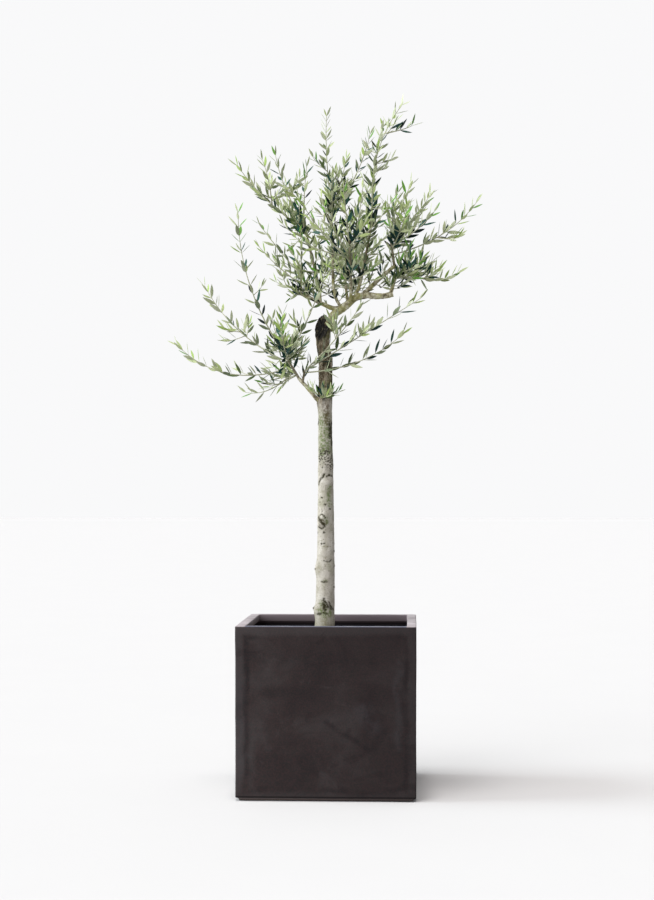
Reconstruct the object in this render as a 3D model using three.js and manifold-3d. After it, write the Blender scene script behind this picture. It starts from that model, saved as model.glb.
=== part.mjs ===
// A young olive tree, trained as a standard, in a square dark planter.
// Millimetres, +Z up. The origin is the centre of the planter's flat underside,
// +X is the tree's right and -Y its front.

import * as THREE from "three";
import { mergeVertices } from "three/addons/utils/BufferGeometryUtils.js";
import Module from "manifold-3d";

const wasm = await Module();
wasm.setup();

// Clearance left between pieces that rest on or grow out of one another.
const GAP = 0.3;

// Planter: a cast box with a slight draft, a chamfered foot and a thick rim over a thinner wall.
const PLANTER_HALF = 200;
const PLANTER_HEIGHT = 383;
const PLANTER_DRAFT = 1;
const PLANTER_FOOT_CHAMFER = 8;
const PLANTER_CORNER = 3;
const RIM_WIDTH = 21;
const RIM_DEPTH = 15;
const LIP_SLOPE = 8;
const WALL = 12;
const FLOOR = 14;

// The soil stands this far below the rim.
const SOIL_DEPTH = 58;
const SOIL_TOP = PLANTER_HEIGHT - SOIL_DEPTH;

// Trunk: where its centre line passes and how thick it is there.
const TRUNK_SIDES = 14;
const TRUNK_FOOT = SOIL_TOP + GAP;
const TRUNK_LINE = [
  { at: [-13, 0, TRUNK_FOOT], radius: 31 },
  { at: [-12, 0, 337], radius: 26.5 },
  { at: [-12, 0, 356], radius: 23.8 },
  { at: [-11, 1, 390], radius: 22.4 },
  { at: [-9, 3, 530], radius: 20.2 },
  { at: [-9, 2, 660], radius: 18.4 },
  { at: [-10, -1, 800], radius: 16.6 },
  { at: [-10, -2, 880], radius: 15.8 },
  { at: [-10, 0, 967], radius: 15.6 },
  { at: [-16, 1, 1030], radius: 15.2 },
  { at: [-20, 2, 1098], radius: 13.6 },
];
const TRUNK_STEP = 27;
const TRUNK_SAMPLES = 200;

// Knots and healed scars: height, compass angle in degrees, half height and how far they stand out.
const KNOTS = [
  { z: 405, angle: 200, half: 14, out: 4 },
  { z: 502, angle: 190, half: 16, out: 4 },
  { z: 614, angle: 245, half: 17, out: 5.5 },
  { z: 702, angle: 300, half: 12, out: 2.5 },
  { z: 790, angle: 80, half: 16, out: 4 },
  { z: 885, angle: 200, half: 20, out: 4 },
  { z: 985, angle: 20, half: 16, out: 3 },
  { z: 1052, angle: 10, half: 22, out: 4 },
];

// The old leader was sawn off above the fork: a steep oval cut that faces front and left.
const CUT_CENTRE = new THREE.Vector3(-20, 0, 1057);
const CUT_FACING = new THREE.Vector3(-0.3, -0.84, 0.454).normalize();
const CUT_BLOCK = 120;
const PIT_RADIUS = 10;
const PIT_HALF_LENGTH = 22;
const PIT_DEPTH = 7;

// Boughs: each one grows out of an earlier limb and tapers evenly to its tip.
const BOUGH_SIDES = 7;
const BOUGH_STEP = 22;
const BOUGHS = [
  { name: "bough_fork", on: "trunk", radius: [10, 7.6],
    line: [[-16, 4, 1050], [6, 4, 1086], [24, 3, 1101], [40, 1, 1112], [56, 0, 1126], [74, -2, 1132],
      [93, -3, 1134]] },
  { name: "bough_right_low", on: "bough_fork", radius: [6.9, 6.4],
    line: [[90, -3, 1133], [112, -5, 1131], [130, -6, 1132], [147, -6, 1136]] },
  { name: "bough_right_spur", on: "bough_right_low", radius: [4.3, 3.4],
    line: [[141, -6, 1135], [146, -5, 1153], [152, -4, 1172]] },
  { name: "bough_right_up", on: "bough_fork", radius: [5.4, 4.2],
    line: [[74, 0, 1131], [92, 5, 1150], [122, 10, 1179], [151, 12, 1203]] },
  { name: "bough_left", on: "bough_fork", radius: [5.8, 3.8],
    line: [[28, 4, 1104], [10, 8, 1104], [-8, 9, 1111], [-25, 8, 1119], [-48, 6, 1130], [-68, 4, 1139]] },
  { name: "bough_centre", on: "bough_fork", radius: [3.6, 3.2],
    line: [[28, 0, 1104], [17, -6, 1122], [10, -8, 1148], [8, -8, 1172]] },
  { name: "bough_upper_left", on: "bough_left", radius: [3.7, 3.3],
    line: [[-22, 9, 1118], [-25, 20, 1150], [-31, 23, 1178]] },
  { name: "bough_right_mid", on: "bough_fork", radius: [4.2, 3.6],
    line: [[58, 2, 1127], [66, 8, 1150], [73, 9, 1172]] },
  { name: "bough_front", on: "bough_fork", radius: [4, 3.4],
    line: [[50, -2, 1121], [50, -22, 1139], [51, -42, 1156]] },
  { name: "bough_back", on: "bough_fork", radius: [4, 3.4],
    line: [[42, 4, 1114], [40, 26, 1130], [37, 46, 1149]] },
  { name: "bough_low_left", on: "trunk", radius: [5.2, 3.7],
    line: [[-14, -4, 876], [-34, -8, 899], [-54, -8, 923], [-71, -6, 941]] },
];

// Twigs are three-sided. A stem starts inside the end of its bough, and every shoot stops short of
// its tip by the reach of its last pair of leaves, or by a share of its length where it is short.
const TWIG_SIDES = 3;
const STEM_RADIUS = [3.3, 2.5];
const STEM_ROOT = 0.985;
const SHOOT_RADIUS = [2.2, 1.1];
const SHOOT_STEP = 60;
const SHOOT_CLEARANCE = 5;
const TIP_REACH = 40;
const TIP_SHARE = 0.45;

// Side shoots leave a stem or long shoot in its lower part, turned this much along and aside of it.
const SIDE_SHOOT_RADIUS = [1.7, 1];
const SIDE_SHOOT_LENGTH = [75, 120];
const SIDE_SHOOT_AT = [0.05, 0.45];
const SIDE_SHOOT_BOW = 8;
const SIDE_SHOOT_HEADING = { along: 0.6, aside: 0.8 };

// A fan's shoots leave the upper part of its stem, and step round it by a share of the spread.
const FAN_ROOT = [0.45, 1];
const FAN_BOW = 18;
const FAN_STEP = 0.618;

// Leaves: slim eight-faced blades in opposite pairs, larger than life because each stands for a
// spray. Angles are in degrees off the shoot, and the lift turns leaves up on a level shoot.
const LEAF_LENGTH = 55;
const LEAF_WIDTH = 13.5;
const LEAF_THICK = 1.8;
const LEAF_WIDEST = 0.45;
const LEAF_SIZES = [0.86, 1.06];
const TIP_LEAF_SIZE = 0.86;
const LEAF_SINK = 0.3;
const LEAF_ANGLE = 42;
const TIP_LEAF_ANGLE = 20;
const LEAF_ANGLE_SPREAD = 14;
const LEAF_LIFT = 0.5;
const PAIR_STEP = 50;
const PAIR_STAGGER = 1;
const ROLL_SPREAD = 0.3;
const BARE_TIP = 3;
const BARE_BASE = 26;
const LOWEST_LEAF = 0.05;

// How near a leaf may come to another mass, and to its own mass past the share next to its root.
const LEAF_CLEARANCE = 7;
const OWN_CLEARANCE = 4;
const ROOT_SHARE = 0.3;

// Masses of foliage. Each has one stem, from inside its bough to "stem", and long shoots that leave
// the stem, or an earlier shoot, at a share of its length. A shoot's bow is how far its curve is
// drawn down and out of the straight line. "side" is the number of short side shoots, "size" scales
// the leaves, and a fan adds long shoots all round one compass direction.
const MASSES = [
  { name: "foliage_low_left", on: "bough_low_left", seed: 11, side: 10, stem: [-106, -4, 1000],
    shoots: [
      { tip: [-366, -50, 1034], at: 0.45, bow: 92 },
      { tip: [-309, 60, 1186], at: 0.6, bow: 52 },
      { tip: [-209, -40, 1348], at: 0.9, bow: 60 },
      { tip: [-222, 50, 917], at: 0.3, bow: 40 },
      { tip: [-108, -35, 1112], at: 1, bow: 5 },
      { tip: [-140, 30, 1106], at: 1, bow: 10 },
      { tip: [2, -62, 1214], at: 0.8, bow: 20 },
      { tip: [-120, -25, 902], at: 0.15, bow: -10 },
      { tip: [-100, -205, 1075], at: 0.7, bow: 40 },
      { tip: [-85, 205, 1080], at: 0.7, bow: 40 },
    ] },
  { name: "foliage_low_right", on: "bough_low_left", from: 0.86, seed: 12, side: 2, stem: [-56, -30, 957],
    shoots: [
      { tip: [229, -110, 1126], at: 1, bow: 0 },
      { tip: [189, -72, 1056], at: 0.85, bow: 50 },
      { tip: [89, -96, 1122], at: 1, bow: 15 },
    ] },
  { name: "foliage_spur", on: "trunk", from: 0.74, seed: 13, side: 0, size: 0.62, stem: [-18, -30, 896],
    shoots: [
      { tip: [42, -56, 922], at: 0.9, bow: 8 },
      { tip: [-44, -64, 926], at: 1, bow: 4 },
      { tip: [4, -92, 904], at: 1, bow: 6 },
    ] },
  { name: "foliage_left", on: "bough_left", seed: 14, side: 9, stem: [-66, -4, 1180],
    shoots: [
      { tip: [-177, -30, 1263], at: 0.5, bow: 10 },
      { tip: [-182, 45, 1328], at: 1, bow: 5 },
      { tip: [-145, 20, 1183], at: 0.2, bow: 10 },
      { tip: [-60, -100, 1262], at: 1, bow: 14 },
      { tip: [-85, 115, 1240], at: 0.8, bow: 18 },
      { tip: [-98, -48, 1112], at: 0.1, bow: -5 },
      { tip: [-20, -60, 1180], at: 0.5, bow: 8 },
      { tip: [-34, -78, 1140], at: 0.15, bow: 4 },
      { tip: [-30, 75, 1160], at: 0.2, bow: 6 },
    ] },
  { name: "foliage_upper_left", on: "bough_upper_left", seed: 15, side: 8, stem: [-60, 12, 1302],
    shoots: [
      { tip: [-226, -30, 1454], at: 0.88, bow: 25 },
      { tip: [-166, -10, 1472], on: 0, at: 0.45, bow: -10 },
      { tip: [-133, 35, 1492], at: 1, bow: 20 },
      { tip: [-50, 5, 1460], at: 1, bow: -8 },
      { tip: [-122, -20, 1318], at: 0.72, bow: 15 },
      { tip: [-98, -115, 1350], at: 0.84, bow: 20 },
      { tip: [-85, 130, 1345], at: 0.84, bow: 20 },
      { tip: [-92, -36, 1200], at: 0.1, bow: 4 },
      { tip: [-20, 84, 1206], at: 0.1, bow: 6 },
    ] },
  { name: "foliage_centre", on: "bough_centre", seed: 16, side: 8, stem: [5, -4, 1334],
    shoots: [
      { tip: [-5, -20, 1572], at: 1, bow: 20 },
      { tip: [43, 22, 1480], at: 0.98, bow: 6 },
      { tip: [100, -30, 1528], at: 0.9, bow: 25 },
      { tip: [12, -135, 1405], at: 0.76, bow: 20 },
      { tip: [-10, 135, 1420], at: 0.8, bow: 20 },
      { tip: [45, -70, 1312], at: 0.56, bow: 8 },
      { tip: [-42, -64, 1186], at: 0.06, bow: 2 },
      { tip: [50, -56, 1232], at: 0.2, bow: 8 },
      { tip: [-20, 56, 1200], at: 0.1, bow: 4 },
    ] },
  { name: "foliage_upper_right", on: "bough_right_mid", seed: 17, side: 8, stem: [100, 4, 1312],
    shoots: [
      { tip: [184, 20, 1596], at: 1, bow: -60 },
      { tip: [130, 42, 1556], on: 0, at: 0.35, bow: -8 },
      { tip: [214, 0, 1540], on: 0, at: 0.72, bow: 8 },
      { tip: [-17, -85, 1368], at: 0.69, bow: 0 },
      { tip: [105, -145, 1400], at: 0.8, bow: 20 },
      { tip: [84, 140, 1425], at: 0.84, bow: 20 },
      { tip: [60, -98, 1322], at: 0.5, bow: 12 },
      { tip: [116, -66, 1210], at: 0.08, bow: 6 },
      { tip: [66, 66, 1262], at: 0.2, bow: 8 },
    ] },
  { name: "foliage_right", on: "bough_right_up", seed: 18, side: 12, stem: [141, -2, 1268],
    shoots: [
      { tip: [201, -22, 1409], at: 1, bow: -8 },
      { tip: [165, 24, 1398], at: 1, bow: -10 },
      { tip: [246, 32, 1394], at: 0.9, bow: 14 },
      { tip: [256, -52, 1338], at: 0.7, bow: 18 },
      { tip: [354, 12, 1368], at: 0.4, bow: 45 },
      { tip: [316, -38, 1274], on: 4, at: 0.48, bow: 14 },
      { tip: [185, -165, 1335], at: 0.6, bow: 25 },
      { tip: [195, 165, 1345], at: 0.6, bow: 25 },
    ] },
  { name: "foliage_right_low", on: "bough_right_spur", seed: 19, side: 5, stem: [170, -2, 1194],
    shoots: [
      { tip: [316, -20, 1196], at: 0.9, bow: 48 },
      { tip: [222, -125, 1215], at: 0.7, bow: 20 },
      { tip: [232, 118, 1220], at: 0.7, bow: 20 },
      { tip: [212, -40, 1168], at: 0.4, bow: 4 },
    ] },
  { name: "foliage_front", on: "bough_front", seed: 20, side: 6, stem: [50, -128, 1244],
    fan: { count: 7, facing: -90, spread: 82, low: 2, high: 72, length: [125, 185] },
    shoots: [
      { tip: [112, -102, 1190], at: 0.1, bow: 8 },
      { tip: [-4, -110, 1196], at: 0.15, bow: 8 },
      { tip: [28, -112, 1154], at: 0.05, bow: -4 },
    ] },
  { name: "foliage_back", on: "bough_back", seed: 21, side: 6, stem: [26, 136, 1240],
    fan: { count: 7, facing: 90, spread: 82, low: 2, high: 72, length: [130, 190] },
    shoots: [
      { tip: [92, 108, 1182], at: 0.1, bow: 8 },
      { tip: [-22, 104, 1186], at: 0.15, bow: 8 },
      { tip: [36, 120, 1154], at: 0.05, bow: -4 },
    ] },
];

const UP = new THREE.Vector3(0, 0, 1);
const DOWN = new THREE.Vector3(0, 0, -1);
const SIDE = new THREE.Vector3(1, 0, 0);
const NEARLY_UPRIGHT = 0.9;

// Colours and finish of each kind of piece.
const LOOKS = {
  planter: { color: 0x3a3232, roughness: 0.62 },
  soil: { color: 0x3b2c20, roughness: 0.97 },
  bark: { color: 0x8d8b78, roughness: 0.85 },
  bough: { color: 0x8b7f66, roughness: 0.85 },
  foliage: { color: 0x7f9468, roughness: 0.6 },
};

function vector(list) {
  return new THREE.Vector3(...list);
}

function mix(range, share) {
  return THREE.MathUtils.lerp(range[0], range[1], share);
}

// A repeatable stream of numbers from 0 to 1.
function seededRandom(seed) {
  let state = seed * 2654435761 >>> 0;
  return () => {
    state = (state + 0x6d2b79f5) >>> 0;
    let word = Math.imul(state ^ (state >>> 15), state | 1);
    word ^= word + Math.imul(word ^ (word >>> 7), word | 61);
    return ((word ^ (word >>> 14)) >>> 0) / 4294967296;
  };
}

// A closed skin over rings of equal count, each running anticlockwise about the way to the next.
function loft(rings) {
  const count = rings[0].length;
  const points = rings.flat();
  const faces = [];
  for (let level = 0; level + 1 < rings.length; level += 1) {
    const low = level * count;
    const high = low + count;
    for (let i = 0; i < count; i += 1) {
      const next = (i + 1) % count;
      faces.push(low + i, low + next, high + next, low + i, high + next, high + i);
    }
  }
  const last = (rings.length - 1) * count;
  for (let i = 1; i + 1 < count; i += 1) {
    faces.push(0, i + 1, i);
    faces.push(last, last + i, last + i + 1);
  }
  const geometry = new THREE.BufferGeometry().setFromPoints(points);
  geometry.setIndex(faces);
  return geometry;
}

// A closed solid for joining and cutting, from a geometry.
function solidOf(geometry) {
  const bare = new THREE.BufferGeometry();
  bare.setAttribute("position", geometry.getAttribute("position"));
  bare.setIndex(geometry.getIndex());
  const merged = mergeVertices(bare, 1e-4);
  const vertProperties = new Float32Array(merged.getAttribute("position").array);
  const triVerts = new Uint32Array(merged.getIndex().array);
  return new wasm.Manifold(new wasm.Mesh({ numProp: 3, vertProperties, triVerts }));
}

// The one main body of a solid, with loose scraps dropped and sealed hollows filled.
function mainBody(solid) {
  const bodies = solid.decompose();
  return bodies.reduce((best, body) => (body.volume() > best.volume() ? body : best));
}

function geometryOf(solid) {
  const mesh = solid.getMesh();
  const geometry = new THREE.BufferGeometry();
  geometry.setAttribute("position", new THREE.BufferAttribute(new Float32Array(mesh.vertProperties), 3));
  geometry.setIndex(new THREE.BufferAttribute(new Uint32Array(mesh.triVerts), 1));
  geometry.computeVertexNormals();
  return geometry;
}

function part(name, geometry, look) {
  const mesh = new THREE.Mesh(geometry, new THREE.MeshStandardMaterial({ metalness: 0, ...LOOKS[look] }));
  mesh.name = name;
  return mesh;
}

// A square ring with small cut corners, level at height z.
function squareRing(half, z, corner) {
  const flat = half - corner;
  return [[half, -flat], [half, flat], [flat, half], [-flat, half],
    [-half, flat], [-half, -flat], [-flat, -half], [flat, -half]]
    .map(([x, y]) => new THREE.Vector3(x, y, z));
}

// The planter's wall: up the outside, over the rim and down the inside to the floor.
function planterGeometry() {
  const foot = PLANTER_HALF - PLANTER_DRAFT;
  const inner = PLANTER_HALF - WALL;
  const mouth = PLANTER_HALF - RIM_WIDTH;
  const lipFoot = PLANTER_HEIGHT - RIM_DEPTH;
  return loft([
    squareRing(foot - PLANTER_FOOT_CHAMFER, 0, PLANTER_CORNER),
    squareRing(foot, PLANTER_FOOT_CHAMFER, PLANTER_CORNER),
    squareRing(PLANTER_HALF, PLANTER_HEIGHT, PLANTER_CORNER),
    squareRing(mouth, PLANTER_HEIGHT, PLANTER_CORNER),
    squareRing(mouth, lipFoot, PLANTER_CORNER),
    squareRing(inner, lipFoot - LIP_SLOPE, PLANTER_CORNER),
    squareRing(inner - PLANTER_DRAFT, FLOOR, PLANTER_CORNER),
  ]);
}

// The root ball and potting soil, which fill the planter below the rim.
function soilGeometry() {
  const half = PLANTER_HALF - WALL - PLANTER_DRAFT - GAP;
  return loft([
    squareRing(half, FLOOR + GAP, PLANTER_CORNER),
    squareRing(half, SOIL_TOP, PLANTER_CORNER),
  ]);
}

// How far the knots push the bark out at one height and compass angle.
function knotSwell(z, angle) {
  return KNOTS.reduce((sum, knot) => {
    const rise = (z - knot.z) / knot.half;
    const facing = Math.max(0, Math.cos(angle - THREE.MathUtils.degToRad(knot.angle)));
    return sum + knot.out * Math.exp(-rise * rise) * facing ** 4;
  }, 0);
}

function trunkCurve() {
  return new THREE.CatmullRomCurve3(TRUNK_LINE.map((stop) => vector(stop.at)));
}

// The trunk's whole tube before the cut, grown by a margin where something is seated on it.
function trunkTube(margin) {
  const line = trunkCurve();
  const top = TRUNK_LINE.at(-1).at[2];
  const spans = Math.round((top - TRUNK_FOOT) / TRUNK_STEP);
  const heights = [TRUNK_FOOT, TRUNK_LINE[1].at[2], TRUNK_LINE[2].at[2]];
  for (let i = 2; i <= spans; i += 1) {
    heights.push(TRUNK_FOOT + (top - TRUNK_FOOT) * i / spans);
  }
  const samples = line.getPoints(TRUNK_SAMPLES);
  const rings = heights.map((z) => {
    const centre = samples.reduce((best, p) => (Math.abs(p.z - z) < Math.abs(best.z - z) ? p : best));
    const over = Math.max(1, TRUNK_LINE.findIndex((stop) => stop.at[2] >= z - 1e-6));
    const [below, above] = [TRUNK_LINE[over - 1], TRUNK_LINE[over]];
    const share = (z - below.at[2]) / (above.at[2] - below.at[2]);
    const radius = mix([below.radius, above.radius], share) + margin;
    return Array.from({ length: TRUNK_SIDES }, (_, i) => {
      const angle = 2 * Math.PI * i / TRUNK_SIDES;
      const reach = radius + knotSwell(z, angle);
      return new THREE.Vector3(centre.x + reach * Math.cos(angle), centre.y + reach * Math.sin(angle), z);
    });
  });
  return solidOf(loft(rings));
}

// The sawn face over the fork: everything in front of it goes, and rot has hollowed it a little.
function trunkSolid() {
  const turn = new THREE.Quaternion().setFromUnitVectors(UP, CUT_FACING);
  const block = new THREE.BoxGeometry(CUT_BLOCK, CUT_BLOCK, CUT_BLOCK);
  block.translate(0, 0, CUT_BLOCK / 2).applyQuaternion(turn).translate(...CUT_CENTRE.toArray());
  const along = UP.clone().projectOnPlane(CUT_FACING).normalize();
  const across = new THREE.Vector3().crossVectors(along, CUT_FACING);
  const basis = new THREE.Matrix4().makeBasis(across, along, CUT_FACING);
  const pit = new THREE.SphereGeometry(1, 10, 6).scale(PIT_RADIUS, PIT_HALF_LENGTH, PIT_DEPTH);
  pit.applyMatrix4(basis).translate(...CUT_CENTRE.toArray());
  return trunkTube(0).subtract(solidOf(block)).subtract(solidOf(pit));
}

// A tapering tube along a curve with a flat end at each side.
function tube(curve, radii, sides, steps, margin = 0) {
  const frames = curve.computeFrenetFrames(steps, false);
  const rings = Array.from({ length: steps + 1 }, (_, i) => {
    const centre = curve.getPointAt(i / steps);
    if (i === 0) {
      centre.addScaledVector(frames.tangents[0], -margin);
    }
    if (i === steps) {
      centre.addScaledVector(frames.tangents[steps], margin);
    }
    const radius = mix(radii, i / steps) + margin;
    return Array.from({ length: sides }, (_, side) => {
      const angle = 2 * Math.PI * side / sides;
      return centre.clone()
        .addScaledVector(frames.normals[i], radius * Math.cos(angle))
        .addScaledVector(frames.binormals[i], radius * Math.sin(angle));
    });
  });
  return loft(rings);
}

function boughCurve(bough) {
  return new THREE.CatmullRomCurve3(bough.line.map(vector));
}

function boughTube(bough, margin) {
  const curve = boughCurve(bough);
  const steps = Math.max(3, Math.round(curve.getLength() / BOUGH_STEP));
  return solidOf(tube(curve, bough.radius, BOUGH_SIDES, steps, margin));
}

// The limb of that name, grown by the gap, to cut a seat for what grows out of it.
function seatCutter(name) {
  if (name === "trunk") {
    return trunkTube(GAP);
  }
  return boughTube(BOUGHS.find((bough) => bough.name === name), GAP);
}

// The shortest way between two straight pieces, by clamping to each in turn.
function distanceBetween(a, b) {
  const p = new THREE.Vector3();
  const q = a.getCenter(new THREE.Vector3());
  for (let i = 0; i < 6; i += 1) {
    b.closestPointToPoint(q, true, p);
    a.closestPointToPoint(p, true, q);
  }
  return p.distanceTo(q);
}

// Straight pieces of every limb, shoot and leaf grown so far, each with its owner and radius.
const taken = [];

function claim(owner, points, radii, kind) {
  for (let i = 0; i + 1 < points.length; i += 1) {
    const radius = mix(radii, i / (points.length - 1));
    taken.push({ owner, kind, radius, line: new THREE.Line3(points[i], points[i + 1]) });
  }
}

function touchesAnother(owner, line, reach) {
  return taken.some((piece) => piece.owner !== owner
    && distanceBetween(line, piece.line) < reach + piece.radius);
}

// Whether a leaf's blade would run into another leaf or twig of its own mass.
function crowdsOwn(owner, blade) {
  return taken.some((piece) => piece.owner === owner && distanceBetween(blade, piece.line) < OWN_CLEARANCE);
}

function distanceToShoots(point, isOwn) {
  const nearest = new THREE.Vector3();
  return taken.reduce((best, piece) => {
    if (piece.kind !== "shoot" || !isOwn(piece.owner)) {
      return best;
    }
    piece.line.closestPointToPoint(point, true, nearest);
    return Math.min(best, nearest.distanceTo(point));
  }, Infinity);
}

// A mass's own space is whatever lies nearer to its own shoots than to those of any other mass.
function inOwnSpace(owner, point) {
  return distanceToShoots(point, (name) => name === owner)
    <= distanceToShoots(point, (name) => name !== owner);
}

// A shoot's curve, drawn down and outward from the straight line by its bow. The shoot itself stops
// short of its tip by the reach of its last pair of leaves.
function shootCurve(start, tip, bow, leafReach) {
  const chord = tip.clone().sub(start).normalize();
  const outward = DOWN.clone().projectOnPlane(chord).normalize();
  const control = start.clone().lerp(tip, 0.5).addScaledVector(outward, bow);
  const heading = tip.clone().sub(control).normalize();
  const reach = Math.min(leafReach, TIP_SHARE * start.distanceTo(tip));
  const end = tip.clone().addScaledVector(heading, -reach);
  return new THREE.QuadraticBezierCurve3(start, control, end);
}

function makeShoot(start, tip, bow, radii, leafReach = TIP_REACH) {
  const curve = shootCurve(start, tip, bow, leafReach);
  const steps = Math.max(2, Math.round(curve.getLength() / SHOOT_STEP));
  return { curve, radii, steps, points: curve.getSpacedPoints(steps), leafy: true };
}

// The point on a shoot's straight-sided tube at a share of its length.
function pointOn(shoot, share) {
  const place = share * shoot.steps;
  const step = Math.min(Math.floor(place), shoot.steps - 1);
  return shoot.points[step].clone().lerp(shoot.points[step + 1], place - step);
}

// Tips of a fan of shoots round one compass direction, from nearly level to steep.
function fanTips(mass, random) {
  const { count, facing, spread, low, high, length } = mass.fan;
  return Array.from({ length: count }, (_, i) => {
    const turn = facing + spread * (2 * ((i * FAN_STEP) % 1) - 1);
    const rise = low + (high - low) * (i + 0.5) / count;
    const azimuth = THREE.MathUtils.degToRad(turn);
    const elevation = THREE.MathUtils.degToRad(rise);
    const reach = mix(length, random());
    return vector(mass.stem).add(new THREE.Vector3(
      reach * Math.cos(elevation) * Math.cos(azimuth),
      reach * Math.cos(elevation) * Math.sin(azimuth),
      reach * Math.sin(elevation),
    ));
  });
}

// The stem and the long shoots of a mass, claimed before any of the finer growth.
function growShoots(mass) {
  const random = seededRandom(mass.seed);
  const limb = BOUGHS.find((bough) => bough.name === mass.on);
  const root = (limb ? boughCurve(limb) : trunkCurve()).getPointAt(mass.from ?? STEM_ROOT);
  const end = vector(mass.stem);
  const stem = { ...makeShoot(root, end, 0, STEM_RADIUS, 0), leafy: false };
  const shoots = [];
  for (const row of mass.shoots) {
    const carrier = row.on === undefined ? stem : shoots[row.on];
    shoots.push(makeShoot(pointOn(carrier, row.at), vector(row.tip), row.bow, SHOOT_RADIUS));
  }
  if (mass.fan) {
    for (const tip of fanTips(mass, random)) {
      shoots.push(makeShoot(pointOn(stem, mix(FAN_ROOT, random())), tip, FAN_BOW, SHOOT_RADIUS));
    }
  }
  const carriers = [stem, ...shoots];
  const grown = { ...mass, random, carriers, shoots: [...carriers], leaves: [] };
  for (const shoot of carriers) {
    claim(mass.name, shoot.points, shoot.radii, "shoot");
  }
  return grown;
}

// One short side shoot off the stem or a long shoot, turned outward and up.
function sideShoot(grown) {
  const { random, carriers } = grown;
  const carrier = carriers[Math.floor(random() * carriers.length)];
  const at = mix(SIDE_SHOOT_AT, random());
  const start = pointOn(carrier, at);
  const along = carrier.curve.getTangentAt(at);
  const sideways = new THREE.Vector3(random() - 0.5, random() - 0.5, random() - 0.3);
  sideways.projectOnPlane(along).normalize();
  const heading = along.multiplyScalar(SIDE_SHOOT_HEADING.along)
    .addScaledVector(sideways, SIDE_SHOOT_HEADING.aside).normalize();
  const tip = start.clone().addScaledVector(heading, mix(SIDE_SHOOT_LENGTH, random()));
  return makeShoot(start, tip, SIDE_SHOOT_BOW, SIDE_SHOOT_RADIUS);
}

function growSideShoots(grown) {
  for (let i = 0; i < grown.side; i += 1) {
    const shoot = sideShoot(grown);
    const blocked = shoot.points.some((point, step) => step > 0
      && touchesAnother(grown.name, new THREE.Line3(shoot.points[step - 1], point), SHOOT_CLEARANCE));
    if (!blocked && inOwnSpace(grown.name, shoot.points.at(-1))) {
      claim(grown.name, shoot.points, shoot.radii, "shoot");
      grown.shoots.push(shoot);
    }
  }
}

// A leaf's six points: root, tip, two edges and the swell of its two faces.
function leafPoints(root, heading, across, size) {
  const face = new THREE.Vector3().crossVectors(heading, across);
  const widest = root.clone().addScaledVector(heading, LEAF_LENGTH * LEAF_WIDEST * size);
  const ring = [
    widest.clone().addScaledVector(across, LEAF_WIDTH / 2 * size),
    widest.clone().addScaledVector(face, LEAF_THICK / 2),
    widest.clone().addScaledVector(across, -LEAF_WIDTH / 2 * size),
    widest.clone().addScaledVector(face, -LEAF_THICK / 2),
  ];
  const sunk = root.clone().addScaledVector(heading, -LEAF_SINK);
  return { root: sunk, ring, tip: root.clone().addScaledVector(heading, LEAF_LENGTH * size) };
}

function leafSolid(leaf) {
  const faces = [];
  for (let i = 0; i < 4; i += 1) {
    const next = (i + 1) % 4;
    faces.push(1 + i, 1 + next, 5, 1 + next, 1 + i, 0);
  }
  const geometry = new THREE.BufferGeometry().setFromPoints([leaf.root, ...leaf.ring, leaf.tip]);
  geometry.setIndex(faces);
  return solidOf(geometry);
}

// A direction square to a shoot, turned round it from level by a roll.
function besideShoot(along, roll) {
  const away = Math.abs(along.z) > NEARLY_UPRIGHT ? SIDE : UP;
  return new THREE.Vector3().crossVectors(along, away).normalize().applyAxisAngle(along, roll);
}

// Where a leaf points: off its shoot to one side, and up towards the light on a level shoot.
function leafHeading(along, sideways, angle) {
  return along.clone().multiplyScalar(Math.cos(angle))
    .addScaledVector(sideways, Math.sin(angle))
    .addScaledVector(UP, LEAF_LIFT * (1 - along.z * along.z))
    .normalize();
}

// Adds a leaf unless it would touch a limb or another mass, crowd its own or leave its mass's space.
function addLeaf(grown, leaf) {
  const line = new THREE.Line3(leaf.root, leaf.tip);
  const blade = new THREE.Line3(line.at(ROOT_SHARE, new THREE.Vector3()), leaf.tip);
  if (!touchesAnother(grown.name, line, LEAF_CLEARANCE) && !crowdsOwn(grown.name, blade)
    && inOwnSpace(grown.name, leaf.tip)) {
    claim(grown.name, [leaf.root, leaf.tip], [LEAF_WIDTH / 2, LEAF_WIDTH / 2], "leaf");
    grown.leaves.push(leaf);
  }
}

// Opposite pairs of leaves from a shoot's tip back to its bare base, each pair a quarter turn on.
function growLeaves(grown, shoot) {
  const { random } = grown;
  const length = shoot.curve.getLength();
  const pairs = Math.max(1, Math.floor((length - BARE_BASE) / PAIR_STEP) + 1);
  let roll = random() * Math.PI;
  for (let i = 0; i < pairs; i += 1) {
    const at = Math.max(LOWEST_LEAF, 1 - (BARE_TIP + i * PAIR_STEP) / length);
    const node = pointOn(shoot, at);
    const along = shoot.curve.getTangentAt(at);
    const sideways = besideShoot(along, roll);
    const degrees = (i === 0 ? TIP_LEAF_ANGLE : LEAF_ANGLE) + LEAF_ANGLE_SPREAD * (random() - 0.5);
    const size = (grown.size ?? 1) * (i === 0 ? TIP_LEAF_SIZE : 1) * mix(LEAF_SIZES, random());
    for (const hand of [1, -1]) {
      const heading = leafHeading(along, sideways, hand * THREE.MathUtils.degToRad(degrees));
      const across = new THREE.Vector3().crossVectors(along, heading).normalize();
      const root = node.clone().addScaledVector(along, hand * PAIR_STAGGER);
      addLeaf(grown, leafPoints(root, heading, across, size));
    }
    roll += Math.PI / 2 + ROLL_SPREAD * (random() - 0.5);
  }
}

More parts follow.
